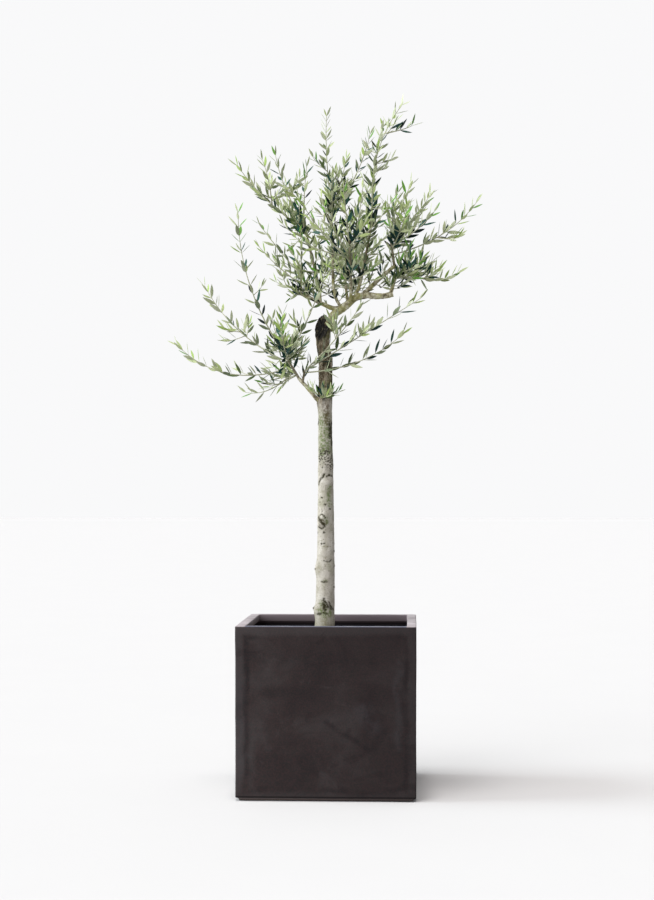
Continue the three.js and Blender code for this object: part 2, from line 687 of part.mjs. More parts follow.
// Everything of one mass joined into a single body and cut clear of the bough that it grows on.
function fuse(grown) {
  let solid = null;
  for (const shoot of grown.shoots) {
    const piece = solidOf(tube(shoot.curve, shoot.radii, TWIG_SIDES, shoot.steps));
    solid = solid ? solid.add(piece) : piece;
  }
  for (const leaf of grown.leaves) {
    solid = solid.add(leafSolid(leaf));
  }
  return mainBody(solid.subtract(seatCutter(grown.on)));
}

const tree = new THREE.Group();
tree.add(part("planter", planterGeometry(), "planter"));
tree.add(part("soil", soilGeometry(), "soil"));
tree.add(part("trunk", geometryOf(trunkSolid()), "bark"));
for (let i = 1; i < TRUNK_LINE.length; i += 1) {
  const [below, above] = [TRUNK_LINE[i - 1], TRUNK_LINE[i]];
  claim("trunk", [vector(below.at), vector(above.at)], [below.radius, above.radius], "limb");
}

const limbs = ["trunk"];
for (const bough of BOUGHS) {
  const solid = limbs.reduce((rest, name) => rest.subtract(seatCutter(name)), boughTube(bough, 0));
  tree.add(part(bough.name, geometryOf(mainBody(solid)), "bough"));
  claim(bough.name, boughCurve(bough).getSpacedPoints(6), bough.radius, "limb");
  limbs.push(bough.name);
}

const crown = MASSES.map(growShoots);
crown.forEach(growSideShoots);
for (const grown of crown) {
  grown.shoots.filter((shoot) => shoot.leafy).forEach((shoot) => growLeaves(grown, shoot));
}
for (const grown of crown) {
  tree.add(part(grown.name, geometryOf(fuse(grown)), "foliage"));
}

export default tree;
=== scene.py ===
"""A potted olive tree: its finish, bark, twigs and leaves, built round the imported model. Metres, +Z up."""

import math
import bpy
import numpy as np
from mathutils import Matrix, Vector, noise


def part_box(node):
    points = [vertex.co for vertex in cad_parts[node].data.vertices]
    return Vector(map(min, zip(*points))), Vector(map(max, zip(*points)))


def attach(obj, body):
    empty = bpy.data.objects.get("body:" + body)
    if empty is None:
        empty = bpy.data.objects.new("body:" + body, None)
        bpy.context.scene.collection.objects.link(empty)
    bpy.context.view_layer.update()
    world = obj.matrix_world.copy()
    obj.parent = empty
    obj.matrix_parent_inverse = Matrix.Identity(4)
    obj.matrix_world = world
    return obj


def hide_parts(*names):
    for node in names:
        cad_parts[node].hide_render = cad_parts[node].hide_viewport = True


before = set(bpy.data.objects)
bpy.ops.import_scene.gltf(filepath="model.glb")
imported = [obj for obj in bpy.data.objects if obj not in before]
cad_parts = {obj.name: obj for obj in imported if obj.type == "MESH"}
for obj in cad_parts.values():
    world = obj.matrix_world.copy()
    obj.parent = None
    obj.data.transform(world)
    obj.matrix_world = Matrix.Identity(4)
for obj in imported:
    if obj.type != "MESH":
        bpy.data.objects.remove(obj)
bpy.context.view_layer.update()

BODY = "root"
MM = 0.001

# Camera: where the planter's rim lines and edges put it. The picture is 654 by 900 pixels.
CAMERA_PLACE = (0.188, -4.1, 0.681)
CAMERA_YAW = math.radians(2.71)
CAMERA_PITCH = math.radians(1.32)
CAMERA_LENS = 71.0
CAMERA_SENSOR = 36.0

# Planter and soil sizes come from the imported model's boxes.
PLANTER_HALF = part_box("planter")[1].x
PLANTER_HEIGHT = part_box("planter")[1].z
SOIL_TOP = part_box("soil")[1].z
PLANTER_DRAFT = 1 * MM
PLANTER_FOOT_CHAMFER = 8 * MM
PLANTER_CORNER = 4 * MM
RIM_WIDTH = 21 * MM
RIM_DEPTH = 15 * MM
RIM_ROUND = 2 * MM
LIP_SLOPE = 8 * MM
WALL = 12 * MM
MOUTH = PLANTER_HALF - RIM_WIDTH

# Smears on the planter's front: from, to (x and z in metres), half width, strength and colour.
SOOT = (0.006, 0.004, 0.005)
BLOOM = (0.078, 0.078, 0.088)
SMEAR_WAVER = 34 * MM
FRONT_SMEARS = [
    ((-0.174, 0.341), (-0.173, 0.243), 0.005, 0.65, SOOT),
    ((0.006, 0.172), (0.094, 0.111), 0.007, 0.60, SOOT),
    ((0.100, 0.113), (0.130, 0.153), 0.011, 0.45, SOOT),
    ((0.175, 0.300), (0.177, 0.074), 0.010, 0.45, SOOT),
    ((-0.132, 0.238), (-0.033, 0.236), 0.012, 0.40, SOOT),
    ((-0.150, 0.318), (0.100, 0.305), 0.014, 0.32, SOOT),
    ((-0.045, 0.098), (-0.026, 0.060), 0.009, 0.35, SOOT),
    ((0.080, 0.200), (0.106, 0.165), 0.016, 0.30, BLOOM),
    ((-0.196, 0.330), (-0.190, 0.060), 0.012, 0.20, BLOOM),
    ((0.158, 0.300), (0.160, 0.120), 0.008, 0.25, BLOOM),
]

# The tables of the tree are in millimetres, as in the part's source.

# Trunk: x, y and z of points on its centre line, and its radius there.
TRUNK_STOPS = [
    (-13, 0, 325.3, 31), (-12, 0, 337, 26.5), (-12, 0, 356, 23.8), (-11, 1, 390, 22.4), (-9, 3, 530, 20.2),
    (-9, 2, 660, 18.4), (-10, -1, 800, 16.6), (-10, -2, 880, 15.8), (-10, 0, 967, 15.6),
    (-16, 1, 1030, 15.2), (-20, 2, 1098, 13.6),
]
TRUNK_LINE = [stop[:3] for stop in TRUNK_STOPS]
TRUNK_Z = np.array([stop[2] for stop in TRUNK_STOPS]) * MM
TRUNK_RADII = np.array([stop[3] for stop in TRUNK_STOPS]) * MM
TRUNK_FOOT_X = TRUNK_STOPS[0][0] * MM

# Knots with healed scars, and small buds: height, compass angle in degrees, half height and how far
# they stand out.
KNOTS = [
    (405, 200, 14, 4), (502, 190, 16, 4), (614, 245, 17, 5.5), (702, 300, 12, 2.5), (790, 80, 16, 4),
    (885, 200, 20, 4), (985, 20, 16, 3), (1052, 10, 22, 4),
]
BUDS = [
    (411, 186, 3.5, 4.5), (459, 348, 3, 1.6), (501, 192, 2.6, 2.2), (508, 350, 3, 1.6), (542, 350, 3, 1.6),
    (603, 228, 6, 3.0), (620, 262, 5, 2.6), (836, 194, 3, 1.8), (470, 70, 3, 2.0), (655, 120, 4, 2.4),
]

# Scars, cracks and specks on the bark, by tone: half width, and a line through heights and compass
# angles. One point is a speck.
STROKES = {
    "dark": [
        (2.2, [(697, 206), (706, 226), (716, 256), (718, 264)]), (2.0, [(714, 282), (718, 304), (715, 332)]),
        (3.0, [(620, 226), (610, 246), (604, 262)]), (1.6, [(626, 236), (627, 252), (620, 270)]),
        (1.6, [(598, 224), (594, 246), (598, 268)]), (3.2, [(431, 264), (423, 276), (415, 288), (409, 312)]),
        (2.4, [(424, 300), (414, 314), (408, 332)]), (1.8, [(401, 262), (399, 286)]),
        (1.4, [(471, 248), (471, 282)]), (1.1, [(520, 262), (518, 288), (521, 314)]),
        (1.5, [(560, 238), (559, 246)]), (1.5, [(559, 258), (559, 268)]), (2.0, [(585, 262)]),
        (1.6, [(542, 342)]), (1.6, [(508, 342)]), (1.6, [(459, 338)]), (1.6, [(501, 198)]),
        (2.4, [(411, 190)]), (1.8, [(749, 218)]), (1.5, [(741, 228)]), (1.5, [(735, 250)]),
        (1.4, [(666, 238), (665, 246)]), (1.4, [(655, 226)]), (1.4, [(650, 264), (649, 272)]),
        (1.4, [(640, 300), (639, 310)]), (1.4, [(634, 250)]), (2.0, [(836, 198)]),
        (5.0, [(838, 344), (812, 350), (788, 342)]), (4.0, [(835, 312), (818, 322), (806, 316)]),
        (4.0, [(421, 264), (409, 272)]),
    ],
    "moss": [
        (5.0, [(616, 268), (606, 276)]), (5.5, [(424, 250), (414, 268), (402, 284), (392, 276)]),
        (2.2, [(473, 256), (474, 276)]), (15.0, [(846, 262), (806, 276), (780, 292)]),
        (9.0, [(800, 236), (770, 246)]), (5.0, [(690, 300), (664, 296), (648, 306)]),
        (7.0, [(405, 248), (396, 278), (401, 300)]),
    ],
    "rust": [(7.0, [(878, 276), (858, 282), (840, 290)]), (5.0, [(612, 248), (606, 262)])],
    "lichen": [(14.0, [(762, 286), (752, 312), (742, 334)]), (8.0, [(772, 240), (758, 232)])],
}
STROKE_DEPTH = 1.7
MORE_SPECKS = 46
MORE_MOSS = [(760, 60), (800, 130), (560, 95), (430, 140), (655, 30)]

# The trunk's mesh: points round it, rows up it, and rings across the steep oval saw cut over the
# fork, which is ragged at its lip and hollowed by rot. Its bark is furrowed from a height up.
TRUNK_SIDES = 104
TRUNK_CLIMB = 520
CUT_RINGS = 14
CUT_CENTRE = np.array([-20, 0, 1057]) * MM
CUT_FACING = np.array([-0.3, -0.84, 0.454])
RAGGED = 4 * MM
PIT_DEPTH = 3 * MM
FRET_DEPTH = 3 * MM
CHARRED = 5 * MM
FURROWED_FROM = 860 * MM
FURROW_DEPTH = 3 * MM

# Boughs: radius at both ends and a line. Each grows out of an earlier limb and tapers evenly to its
# tip. The fork starts behind the saw cut, inside the trunk, and is stained as far as FORK_STAIN.
BOUGHS = {
    "bough_fork": ((10, 7.6), [(-6, 15, 1054), (6, 8, 1085), (24, 4, 1101), (40, 1, 1112), (56, 0, 1126),
                               (74, -2, 1132), (93, -3, 1134)]),
    "bough_right_low": ((6.9, 6.4), [(90, -3, 1133), (112, -5, 1131), (130, -6, 1132), (147, -6, 1136)]),
    "bough_right_spur": ((4.3, 3.4), [(141, -6, 1135), (146, -5, 1153), (152, -4, 1172)]),
    "bough_right_up": ((5.4, 4.2), [(74, 0, 1131), (92, 5, 1150), (122, 10, 1179), (151, 12, 1203)]),
    "bough_left": ((5.8, 3.8), [(28, 4, 1104), (10, 8, 1104), (-8, 9, 1111), (-25, 8, 1119), (-48, 6, 1130),
                                (-68, 4, 1139)]),
    "bough_centre": ((3.6, 3.2), [(28, 0, 1104), (17, -6, 1122), (10, -8, 1148), (8, -8, 1172)]),
    "bough_upper_left": ((3.7, 3.3), [(-22, 9, 1118), (-25, 20, 1150), (-31, 23, 1178)]),
    "bough_right_mid": ((4.2, 3.6), [(58, 2, 1127), (66, 8, 1150), (73, 9, 1172)]),
    "bough_front": ((4, 3.4), [(50, -2, 1121), (50, -22, 1139), (51, -42, 1156)]),
    "bough_back": ((4, 3.4), [(42, 4, 1114), (40, 26, 1130), (37, 46, 1149)]),
    "bough_low_left": ((5.2, 3.7), [(-14, -4, 876), (-34, -8, 899), (-54, -8, 923), (-71, -6, 941)]),
}
FORK_STAIN = 24 * MM
STAIN_FADE = 6 * MM
BOUGH_SIDES = 24
BOUGH_RINGS = 64
BOUGH_LUMPS = 0.14
SAWN_SHARE = 0.82

# Masses of foliage: a stem from inside a bough, and long shoots off it. A shoot is its tip, where on
# the stem it starts and how far it bows, and for some which earlier shoot it is "off" in place of the
# stem, and its "age". "side" is how many side shoots the mass tries to grow before they are made
# finer, "on_bough" how many more it tries on the bough below it, "size" scales them, "step" is how
# far apart the pairs of leaves stand on the long shoots, "leaf" how long the leaves are, and "age",
# of a mass or of one shoot, turns their colours towards the old ones' where it is below zero.
MASSES = {
    "foliage_low_left": {
        "on": "bough_low_left", "seed": 11, "side": 7, "stem": (-106, -4, 1000), "step": 17, "leaf": 35,
        "age": -0.03, "shoots": [
            ((-366, -50, 1034), 0.45, 92), ((-309, 60, 1186), 0.6, 52), ((-209, -40, 1348), 0.9, 60),
            ((-222, 50, 917), 0.3, 40), ((-108, -35, 1112), 1, 5), ((-140, 30, 1106), 1, 10),
            ((2, -62, 1214), 0.8, 20), ((-120, -25, 902), 0.15, -10), ((-100, -205, 1075), 0.7, 40),
            ((-85, 205, 1080), 0.7, 40)]},
    "foliage_low_right": {
        "on": "bough_low_left", "from": 0.86, "seed": 12, "side": 6, "stem": (-56, -30, 957), "step": 19,
        "leaf": 38, "age": -0.3, "shoots": [
            ((229, -110, 1126), 1, 0), ((189, -72, 1056), 0.85, 50), ((89, -96, 1122), 1, 15)]},
    "foliage_spur": {
        "on": "trunk", "from": 0.74, "seed": 13, "side": 3, "size": 0.6, "stem": (-18, -30, 896), "step": 9,
        "leaf": 29, "shoots": [
            ((42, -56, 922), 0.9, 8), ((-44, -64, 926), 1, 4), ((4, -92, 904), 1, 6)]},
    "foliage_left": {
        "on": "bough_left", "seed": 14, "side": 4, "stem": (-66, -4, 1180), "on_bough": 12, "step": 18,
        "leaf": 30, "shoots": [
            ((-177, -30, 1263), 0.5, 10), ((-182, 45, 1328), 1, 5), ((-145, 20, 1183), 0.2, 10),
            ((-60, -100, 1262), 1, 14), ((-85, 115, 1240), 0.8, 18),
            ((-98, -48, 1112), 0.1, -5, {"age": -0.4}), ((-20, -60, 1180), 0.5, 8, {"age": -0.4}),
            ((-34, -78, 1140), 0.15, 4, {"age": -0.4}), ((-30, 75, 1160), 0.2, 6)]},
    "foliage_upper_left": {
        "on": "bough_upper_left", "seed": 15, "side": 8, "stem": (-60, 12, 1302), "on_bough": 8, "step": 16,
        "leaf": 34, "shoots": [
            ((-226, -30, 1454), 0.88, 25), ((-166, -10, 1472), 0.45, -10, {"off": 0}),
            ((-133, 35, 1492), 1, 20), ((-50, 5, 1460), 1, -8), ((-122, -20, 1318), 0.72, 15, {"age": -0.8}),
            ((-98, -115, 1350), 0.84, 20, {"age": -0.5}), ((-85, 130, 1345), 0.84, 20),
            ((-92, -36, 1200), 0.1, 4), ((-20, 84, 1206), 0.1, 6)]},
    "foliage_centre": {
        "on": "bough_centre", "seed": 16, "side": 11, "stem": (5, -4, 1334), "on_bough": 6, "step": 12,
        "leaf": 30, "age": -0.05, "shoots": [
            ((-5, -20, 1572), 1, 20, {"age": -0.1}), ((43, 22, 1480), 0.98, 6), ((100, -30, 1528), 0.9, 25),
            ((12, -135, 1405), 0.76, 20, {"age": -0.3}), ((-10, 135, 1420), 0.8, 20),
            ((45, -70, 1312), 0.56, 8), ((-42, -64, 1186), 0.06, 2, {"age": -0.4}),
            ((50, -56, 1232), 0.2, 8), ((-20, 56, 1200), 0.1, 4)]},
    "foliage_upper_right": {
        "on": "bough_right_mid", "seed": 17, "side": 7, "stem": (100, 4, 1312), "on_bough": 6, "step": 14,
        "leaf": 33, "shoots": [
            ((184, 20, 1600), 1, -60, {"age": -0.25}), ((130, 42, 1556), 0.35, -8, {"off": 0}),
            ((214, 0, 1540), 0.72, 8, {"off": 0}), ((-17, -85, 1368), 0.69, 0, {"age": -0.3}),
            ((105, -145, 1400), 0.8, 20, {"age": -0.2}), ((84, 140, 1425), 0.84, 20),
            ((60, -98, 1322), 0.5, 12), ((116, -66, 1210), 0.08, 6), ((66, 66, 1262), 0.2, 8)]},
    "foliage_right": {
        "on": "bough_right_up", "seed": 18, "side": 6, "stem": (141, -2, 1268), "on_bough": 6, "step": 13,
        "leaf": 35, "shoots": [
            ((201, -22, 1409), 1, -8), ((165, 24, 1398), 1, -10), ((246, 32, 1394), 0.9, 14),
            ((256, -52, 1338), 0.7, 18), ((354, 12, 1368), 0.4, 45), ((316, -38, 1274), 0.48, 14, {"off": 4}),
            ((185, -165, 1335), 0.6, 25), ((195, 165, 1345), 0.6, 25)]},
    "foliage_right_low": {
        "on": "bough_right_spur", "seed": 19, "side": 6, "stem": (170, -2, 1194), "on_bough": 9, "step": 15,
        "leaf": 36, "shoots": [
            ((316, -20, 1196), 0.9, 48), ((222, -125, 1215), 0.7, 20), ((232, 118, 1220), 0.7, 20),
            ((212, -40, 1168), 0.4, 4)]},
    "foliage_front": {
        "on": "bough_front", "seed": 20, "side": 3, "stem": (50, -128, 1244), "on_bough": 1, "step": 19,
        "leaf": 31, "fan": {"count": 7, "facing": -90, "spread": 82, "rise": (2, 72), "length": (125, 185)},
        "shoots": [((112, -102, 1190), 0.1, 8), ((-4, -110, 1196), 0.15, 8), ((28, -112, 1154), 0.05, -4)]},
    "foliage_back": {
        "on": "bough_back", "seed": 21, "side": 4, "stem": (26, 136, 1240), "on_bough": 2, "step": 18,
        "leaf": 31, "fan": {"count": 7, "facing": 90, "spread": 82, "rise": (2, 72), "length": (130, 190)},
        "shoots": [((92, 108, 1182), 0.1, 8), ((-22, 104, 1186), 0.15, 8), ((36, 120, 1154), 0.05, -4)]},
}

# Growth: sizes of stems, shoots and leaves, and how closely they stand, in millimetres and degrees.
STEM_RADIUS = (3.3, 2.3)
SHOOT_RADIUS = (1.9, 0.65)
SIDE_RADIUS = (1.15, 0.55)
TIP_REACH = 26
TIP_SHARE = 0.45
STEM_ROOT = 0.985
SIDE_AT = (0.04, 0.56)
SIDE_LENGTH = (45, 95)
SIDE_BOW = 8
SIDE_AHEAD = 0.6
SIDE_ASIDE = 0.8
SIDE_AGE = 0.9
SIDE_PAIR_STEP = 12.5
STEM_PAIR_STEP = 12
BOUGH_SHOOT_AT = (0.2, 1)
BOUGH_SHOOT_SIZE = 0.75
BOUGH_SHOOT_AGE = -0.35
BOUGH_SHOOT_ROOT = 12
FAN_BOW = 18
FAN_ROOT = (0.45, 1)
FAN_STEP = 0.618
FINER = 4
BARE_BASE = 10
LEAF_ANGLES = (24, 46)
LEAF_ANGLE_SPREAD = 18
LEAF_LENGTHS = (0.78, 1.12)
LEAF_SLIM = 0.24
LEAF_THICK = 0.6
LEAF_LIFT = 0.5
LEAF_TWIST = 1.7
LIMB_CLEARANCE = 2.5

# How fast leaves turn fresh along each kind of shoot, and the ages between old, grey and fresh ones.
VIGOUR = {"stem": 0.4, "long": 1.0, "side": 0.7}
GREY_FROM = 0.41
FRESH_FROM = 0.72
AGE_SPREAD = 0.4


def unit(v):
    return v / np.linalg.norm(v)


def lerp(pair, share):
    return pair[0] + (pair[1] - pair[0]) * share


def seeded_random(seed):
    """A repeatable stream of numbers from 0 to 1, the same as the one the solids are grown from."""
    state = seed * 2654435761 & 0xFFFFFFFF
    while True:
        state = (state + 0x6D2B79F5) & 0xFFFFFFFF
        word = ((state ^ (state >> 15)) * (state | 1)) & 0xFFFFFFFF
        turned = ((word ^ (word >> 7)) * (word | 61)) & 0xFFFFFFFF
        word ^= (word + turned) & 0xFFFFFFFF
        yield (word ^ (word >> 14)) / 4294967296


def rough(point, scale, octaves=4):
    """Fractal noise, about -1 to 1, at a point in metres. The scale is a number, or one for each axis."""
    place = Vector(tuple(np.asarray(point) * scale))
    return noise.fractal(place, 0.6, 2.1, octaves)


# Meshes from arrays.

def add_object(name, data):
    piece = bpy.data.objects.new(name, data)
    bpy.context.collection.objects.link(piece)
    return piece


def mesh_object(name, points, faces, materials, face_material=None, smooth=True):
    mesh = bpy.data.meshes.new(name)
    mesh.from_pydata([tuple(p) for p in points], [], faces)
    for material in materials:
        mesh.materials.append(material)
    if face_material is not None:
        mesh.polygons.foreach_set("material_index", np.asarray(face_material, dtype=np.int32))
    mesh.polygons.foreach_set("use_smooth", [smooth] * len(mesh.polygons))
    mesh.update()
    return add_object(name, mesh)


def add_attribute(piece, name, values):
    attribute = piece.data.attributes.new(name, "FLOAT", "POINT")
    attribute.data.foreach_set("value", np.asarray(values, dtype=np.float32))


def place(piece, slot, *nodes):
    """Makes a piece ride on the part and stand for the nodes it replaces, which it hides. The slot is not
    used.
    """
    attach(piece, BODY)
    if nodes:
        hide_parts(*nodes)
    return piece


def ring_faces(rings, sides, start=0):
    """Quads between rings of points that run the same way round."""
    faces = []
    for low in range(start, start + (rings - 1) * sides, sides):
        for k in range(sides):
            turn = (k + 1) % sides
            faces.append((low + k, low + turn, low + turn + sides, low + k + sides))
    return faces


def fan_faces(first, sides, middle):
    """Triangles from a ring of points to one in its middle."""
    return [(first + k, first + (k + 1) % sides, middle) for k in range(sides)]


def smooth_line(stops, count):
    """Evenly spaced points, in metres, on a smooth curve through stops in millimetres."""
    stops = np.array(stops, dtype=float) * MM
    ends = np.vstack([2 * stops[0] - stops[1], stops, 2 * stops[-1] - stops[-2]])
    fine = []
    for i in range(1, len(ends) - 2):
        p0, p1, p2, p3 = ends[i - 1:i + 3]
        t = np.linspace(0, 1, 16, endpoint=False)[:, None]
        fine.append(0.5 * (2 * p1 + (p2 - p0) * t + (2 * p0 - 5 * p1 + 4 * p2 - p3) * t ** 2
                           + (3 * p1 - p0 - 3 * p2 + p3) * t ** 3))
    fine = np.vstack(fine + [stops[-1:]])
    way = way_along(fine)
    return points_at(fine, way, np.linspace(0, way[-1], count))


def way_along(line):
    return np.concatenate([[0], np.cumsum(np.linalg.norm(np.diff(line, axis=0), axis=1))])


def points_at(line, way, places):
    return np.stack([np.interp(places, way, line[:, k]) for k in range(3)], axis=-1)


def frames_along(line):
    """Two side directions at each point, carried along without twisting."""
    tangents = np.gradient(line, axis=0)
    tangents /= np.linalg.norm(tangents, axis=1)[:, None]
    first = np.cross(tangents[0], (0, 0, 1) if abs(tangents[0][2]) < 0.9 else (1, 0, 0))
    sides = [unit(first)]
    for tangent in tangents[1:]:
        sides.append(unit(sides[-1] - tangent * np.dot(sides[-1], tangent)))
    sides = np.array(sides)
    return sides, np.cross(tangents, sides)


def tube_points(line, radii, sides):
    one, two = frames_along(line)
    angles = np.linspace(0, 2 * math.pi, sides, endpoint=False)[None, :, None]
    out = np.cos(angles) * one[:, None, :] + np.sin(angles) * two[:, None, :]
    return (line[:, None, :] + out * np.asarray(radii)[:, None, None]).reshape(-1, 3)


# Materials: fields that vary over a surface, and finishes made of them.

def feed(tree, value, socket):
    """Links a field to a socket, or sets a number or a colour on it."""
    if isinstance(value, Field):
        tree.links.new(value.socket, socket)
    elif isinstance(value, tuple):
        socket.default_value = (*value, 1)
    else:
        socket.default_value = value


def blend(tree, share, first, second):
    """The first colour where the share is 0, and the second where it is 1."""
    node = tree.nodes.new("ShaderNodeMix")
    node.data_type = "RGBA"
    feed(tree, share, node.inputs["Factor"])
    feed(tree, first, node.inputs[6])
    feed(tree, second, node.inputs[7])
    return Field(tree, node.outputs[2])


def place_fields(tree, kind):
    """x, y and z as fields, of an object's own space or of a direction into the sky."""
    coords = tree.nodes.new("ShaderNodeTexCoord")
    split = tree.nodes.new("ShaderNodeSeparateXYZ")
    tree.links.new(coords.outputs[kind], split.inputs["Vector"])
    return [Field(tree, split.outputs[axis]) for axis in "XYZ"]


class Field:
    """A number or colour that varies from place to place. Sums with it add the nodes they need."""

    def __init__(self, tree, socket):
        self.tree = tree
        self.socket = socket

    def math(self, operation, first, second=0.0):
        node = self.tree.nodes.new("ShaderNodeMath")
        node.operation = operation
        feed(self.tree, first, node.inputs[0])
        feed(self.tree, second, node.inputs[1])
        return Field(self.tree, node.outputs["Value"])

    def __add__(self, other):
        return self.math("ADD", self, other)

    def __sub__(self, other):
        return self.math("SUBTRACT", self, other)

    def __rsub__(self, other):
        return self.math("SUBTRACT", other, self)

    def __mul__(self, other):
        return self.math("MULTIPLY", self, other)

    def __truediv__(self, other):
        return self.math("DIVIDE", self, other)

    def __abs__(self):
        return self.math("ABSOLUTE", self)

    def root(self):
        return self.math("SQRT", self)

    def least(self, other):
        return self.math("MINIMUM", self, other)

    def most(self, other):
        return self.math("MAXIMUM", self, other)

    def level(self, low, high, to_low=0.0, to_high=1.0):
        """Goes smoothly from one value to another while this field goes from low to high."""
        node = self.tree.nodes.new("ShaderNodeMapRange")
        node.interpolation_type = "SMOOTHSTEP"
        for name, value in (("From Min", low), ("From Max", high), ("To Min", to_low), ("To Max", to_high)):
            node.inputs[name].default_value = value
        feed(self.tree, self, node.inputs["Value"])
        return Field(self.tree, node.outputs["Result"])

    def band(self, rise, fall):
        """One between two edges, each given by where it starts and ends, and 0 outside them."""
        return self.level(*rise) * self.level(*fall, 1.0, 0.0)

    def ramp(self, *stops):
        """The colours at their places from 0 to 1, and an even blend between them."""
        node = self.tree.nodes.new("ShaderNodeValToRGB")
        elements = node.color_ramp.elements
        while len(elements) < len(stops):
            elements.new(0.5)
        for element, (position, colour) in zip(elements, stops):
            element.position = position
            element.color = (*colour, 1)
        feed(self.tree, self, node.inputs["Fac"])
        return Field(self.tree, node.outputs["Color"])

    def coated(self, share, colour):
        """This colour with a share of another laid over it."""
        return blend(self.tree, share, self, colour)


class Finish:
    """A material of one surface."""

    def __init__(self, name, roughness, specular):
        self.material = bpy.data.materials.new(name)
        self.material.use_nodes = True
        self.tree = self.material.node_tree
        self.sockets = self.tree.nodes["Principled BSDF"].inputs
        self.sockets["Roughness"].default_value = roughness
        self.sockets["Specular IOR Level"].default_value = specular

    def noise(self, scale, detail=4.0, stretch=(1, 1, 1), roughness=0.55, distortion=0.0):
        coords = self.tree.nodes.new("ShaderNodeTexCoord")
        mapping = self.tree.nodes.new("ShaderNodeMapping")
        mapping.inputs["Scale"].default_value = stretch
        texture = self.tree.nodes.new("ShaderNodeTexNoise")
        texture.inputs["Scale"].default_value = scale
        texture.inputs["Detail"].default_value = detail
        texture.inputs["Roughness"].default_value = roughness
        texture.inputs["Distortion"].default_value = distortion
        self.tree.links.new(coords.outputs["Object"], mapping.inputs["Vector"])
        self.tree.links.new(mapping.outputs["Vector"], texture.inputs["Vector"])
        return Field(self.tree, texture.outputs["Fac"])

    def attribute(self, name):
        node = self.tree.nodes.new("ShaderNodeAttribute")
        node.attribute_name = name
        return Field(self.tree, node.outputs["Fac"])

    def colour(self, value):
        feed(self.tree, value, self.sockets["Base Color"])

    def bump(self, height, distance, strength=1.0):
        node = self.tree.nodes.new("ShaderNodeBump")
        node.inputs["Strength"].default_value = strength
        node.inputs["Distance"].default_value = distance
        feed(self.tree, height, node.inputs["Height"])
        self.tree.links.new(node.outputs["Normal"], self.sockets["Normal"])


def streak(f, across, up, start, end, width):
    """A wavering, broken smear between two places: up to 1 along its middle and 0 outside it."""
    run, rise = end[0] - start[0], end[1] - start[1]
    aside = across + f.noise(19.0, 3.0) * SMEAR_WAVER - (start[0] + SMEAR_WAVER / 2)
    above = up + f.noise(24.0, 3.0) * SMEAR_WAVER - (start[1] + SMEAR_WAVER / 2)
    share = ((aside * run + above * rise) / (run * run + rise * rise)).most(0.0).least(1.0)
    off_aside = aside - share * run
    off_above = above - share * rise
    off = (off_aside * off_aside + off_above * off_above).root() + f.noise(70.0, 4.0) * width
    broken = f.noise(34.0, 3.0).level(0.28, 0.50)
    return broken * off.level(0.6 * width, 2.3 * width, 1.0, 0.0)


def clay(f, x, y, z):
    """Dark cast clay: cloudy, smeared, and a little lighter in a band along its edges, with a painted
    highlight on the foot's chamfer, painted shade in the crease above it, and painted shade darkening it
    towards its right side.
    """
    base = f.noise(9.0, 5.0, roughness=0.62, distortion=0.6).ramp(
        (0.30, (0.0165, 0.0098, 0.0102)), (0.50, (0.0308, 0.0212, 0.0208)), (0.70, (0.0505, 0.0420, 0.0420)))
    side = PLANTER_HALF - abs(x).least(abs(y))
    end = z.least(PLANTER_HEIGHT - z)
    edge = side.least(end) + f.noise(14.0, 3.0) * 0.022
    base = base.coated(edge.level(0.022, 0.036, 1.0, 0.0) * 0.42, (0.069, 0.062, 0.063))
    edge_line = edge.band((0.028, 0.036), (0.036, 0.048)) * f.noise(8.0, 3.0).level(0.46, 0.62)
    base = base.coated(edge_line * 0.65, (0.006, 0.004, 0.005))
    smears = f.noise(6.5, 4.0, (1, 1, 1.9), distortion=1.6).level(0.59, 0.68)
    base = base.coated(smears * 0.45, (0.010, 0.005, 0.006))
    bloom = f.noise(17.0, 4.0, distortion=0.8).level(0.60, 0.74)
    base = base.coated(bloom * 0.25, (0.085, 0.076, 0.080))
    front = y.level(-PLANTER_HALF + 0.01, -PLANTER_HALF + 0.02, 1.0, 0.0)
    for start, stop, width, strength, colour in FRONT_SMEARS:
        mark = front * streak(f, x, z, start, stop, width)
        base = base.coated(mark * strength, colour)
    grain = f.noise(290.0, 3.0).ramp((0.36, (0.014, 0.021, 0.022)), (0.64, (0.057, 0.031, 0.033)))
    base = base.coated(0.30, grain)
    specks = f.noise(380.0, 2.0).level(0.72, 0.80)
    base = base.coated(specks * 0.4, (0.13, 0.11, 0.105))
    # Painted shade: a dark line in the crease where the body meets the foot's chamfer.
    crease_shade = z.band((0.0070, 0.0082), (0.0100, 0.0118))
    base = base.coated(crease_shade * 0.8, (0.003, 0.002, 0.002))
    # Painted highlight: a light band along the foot's chamfer.
    foot = z.band((0.0022, 0.0034), (0.0060, 0.0070))
    base = base.coated(foot * 0.6, (0.160, 0.125, 0.115))
    # Painted shade: darker towards the right side, away from the light.
    return base.coated(x.level(-PLANTER_HALF, PLANTER_HALF, 0.0, 0.34), (0.006, 0.003, 0.004))


def rim_reflection(f, x, y):
    """A painted reflection on the rim: light grey on its sides, and darker on its front and back."""
    reflection = f.noise(30.0, 5.0).ramp((0.3, (0.270, 0.230, 0.246)), (0.7, (0.420, 0.375, 0.393)))
    # Painted reflection: bluish on the front of the rim, pinkish grey on its back.
    across = blend(f.tree, y.level(-0.05, 0.05), (0.100, 0.106, 0.155), (0.185, 0.152, 0.168))
    return across.coated(abs(x).level(MOUTH - 0.003, MOUTH + 0.001), reflection)


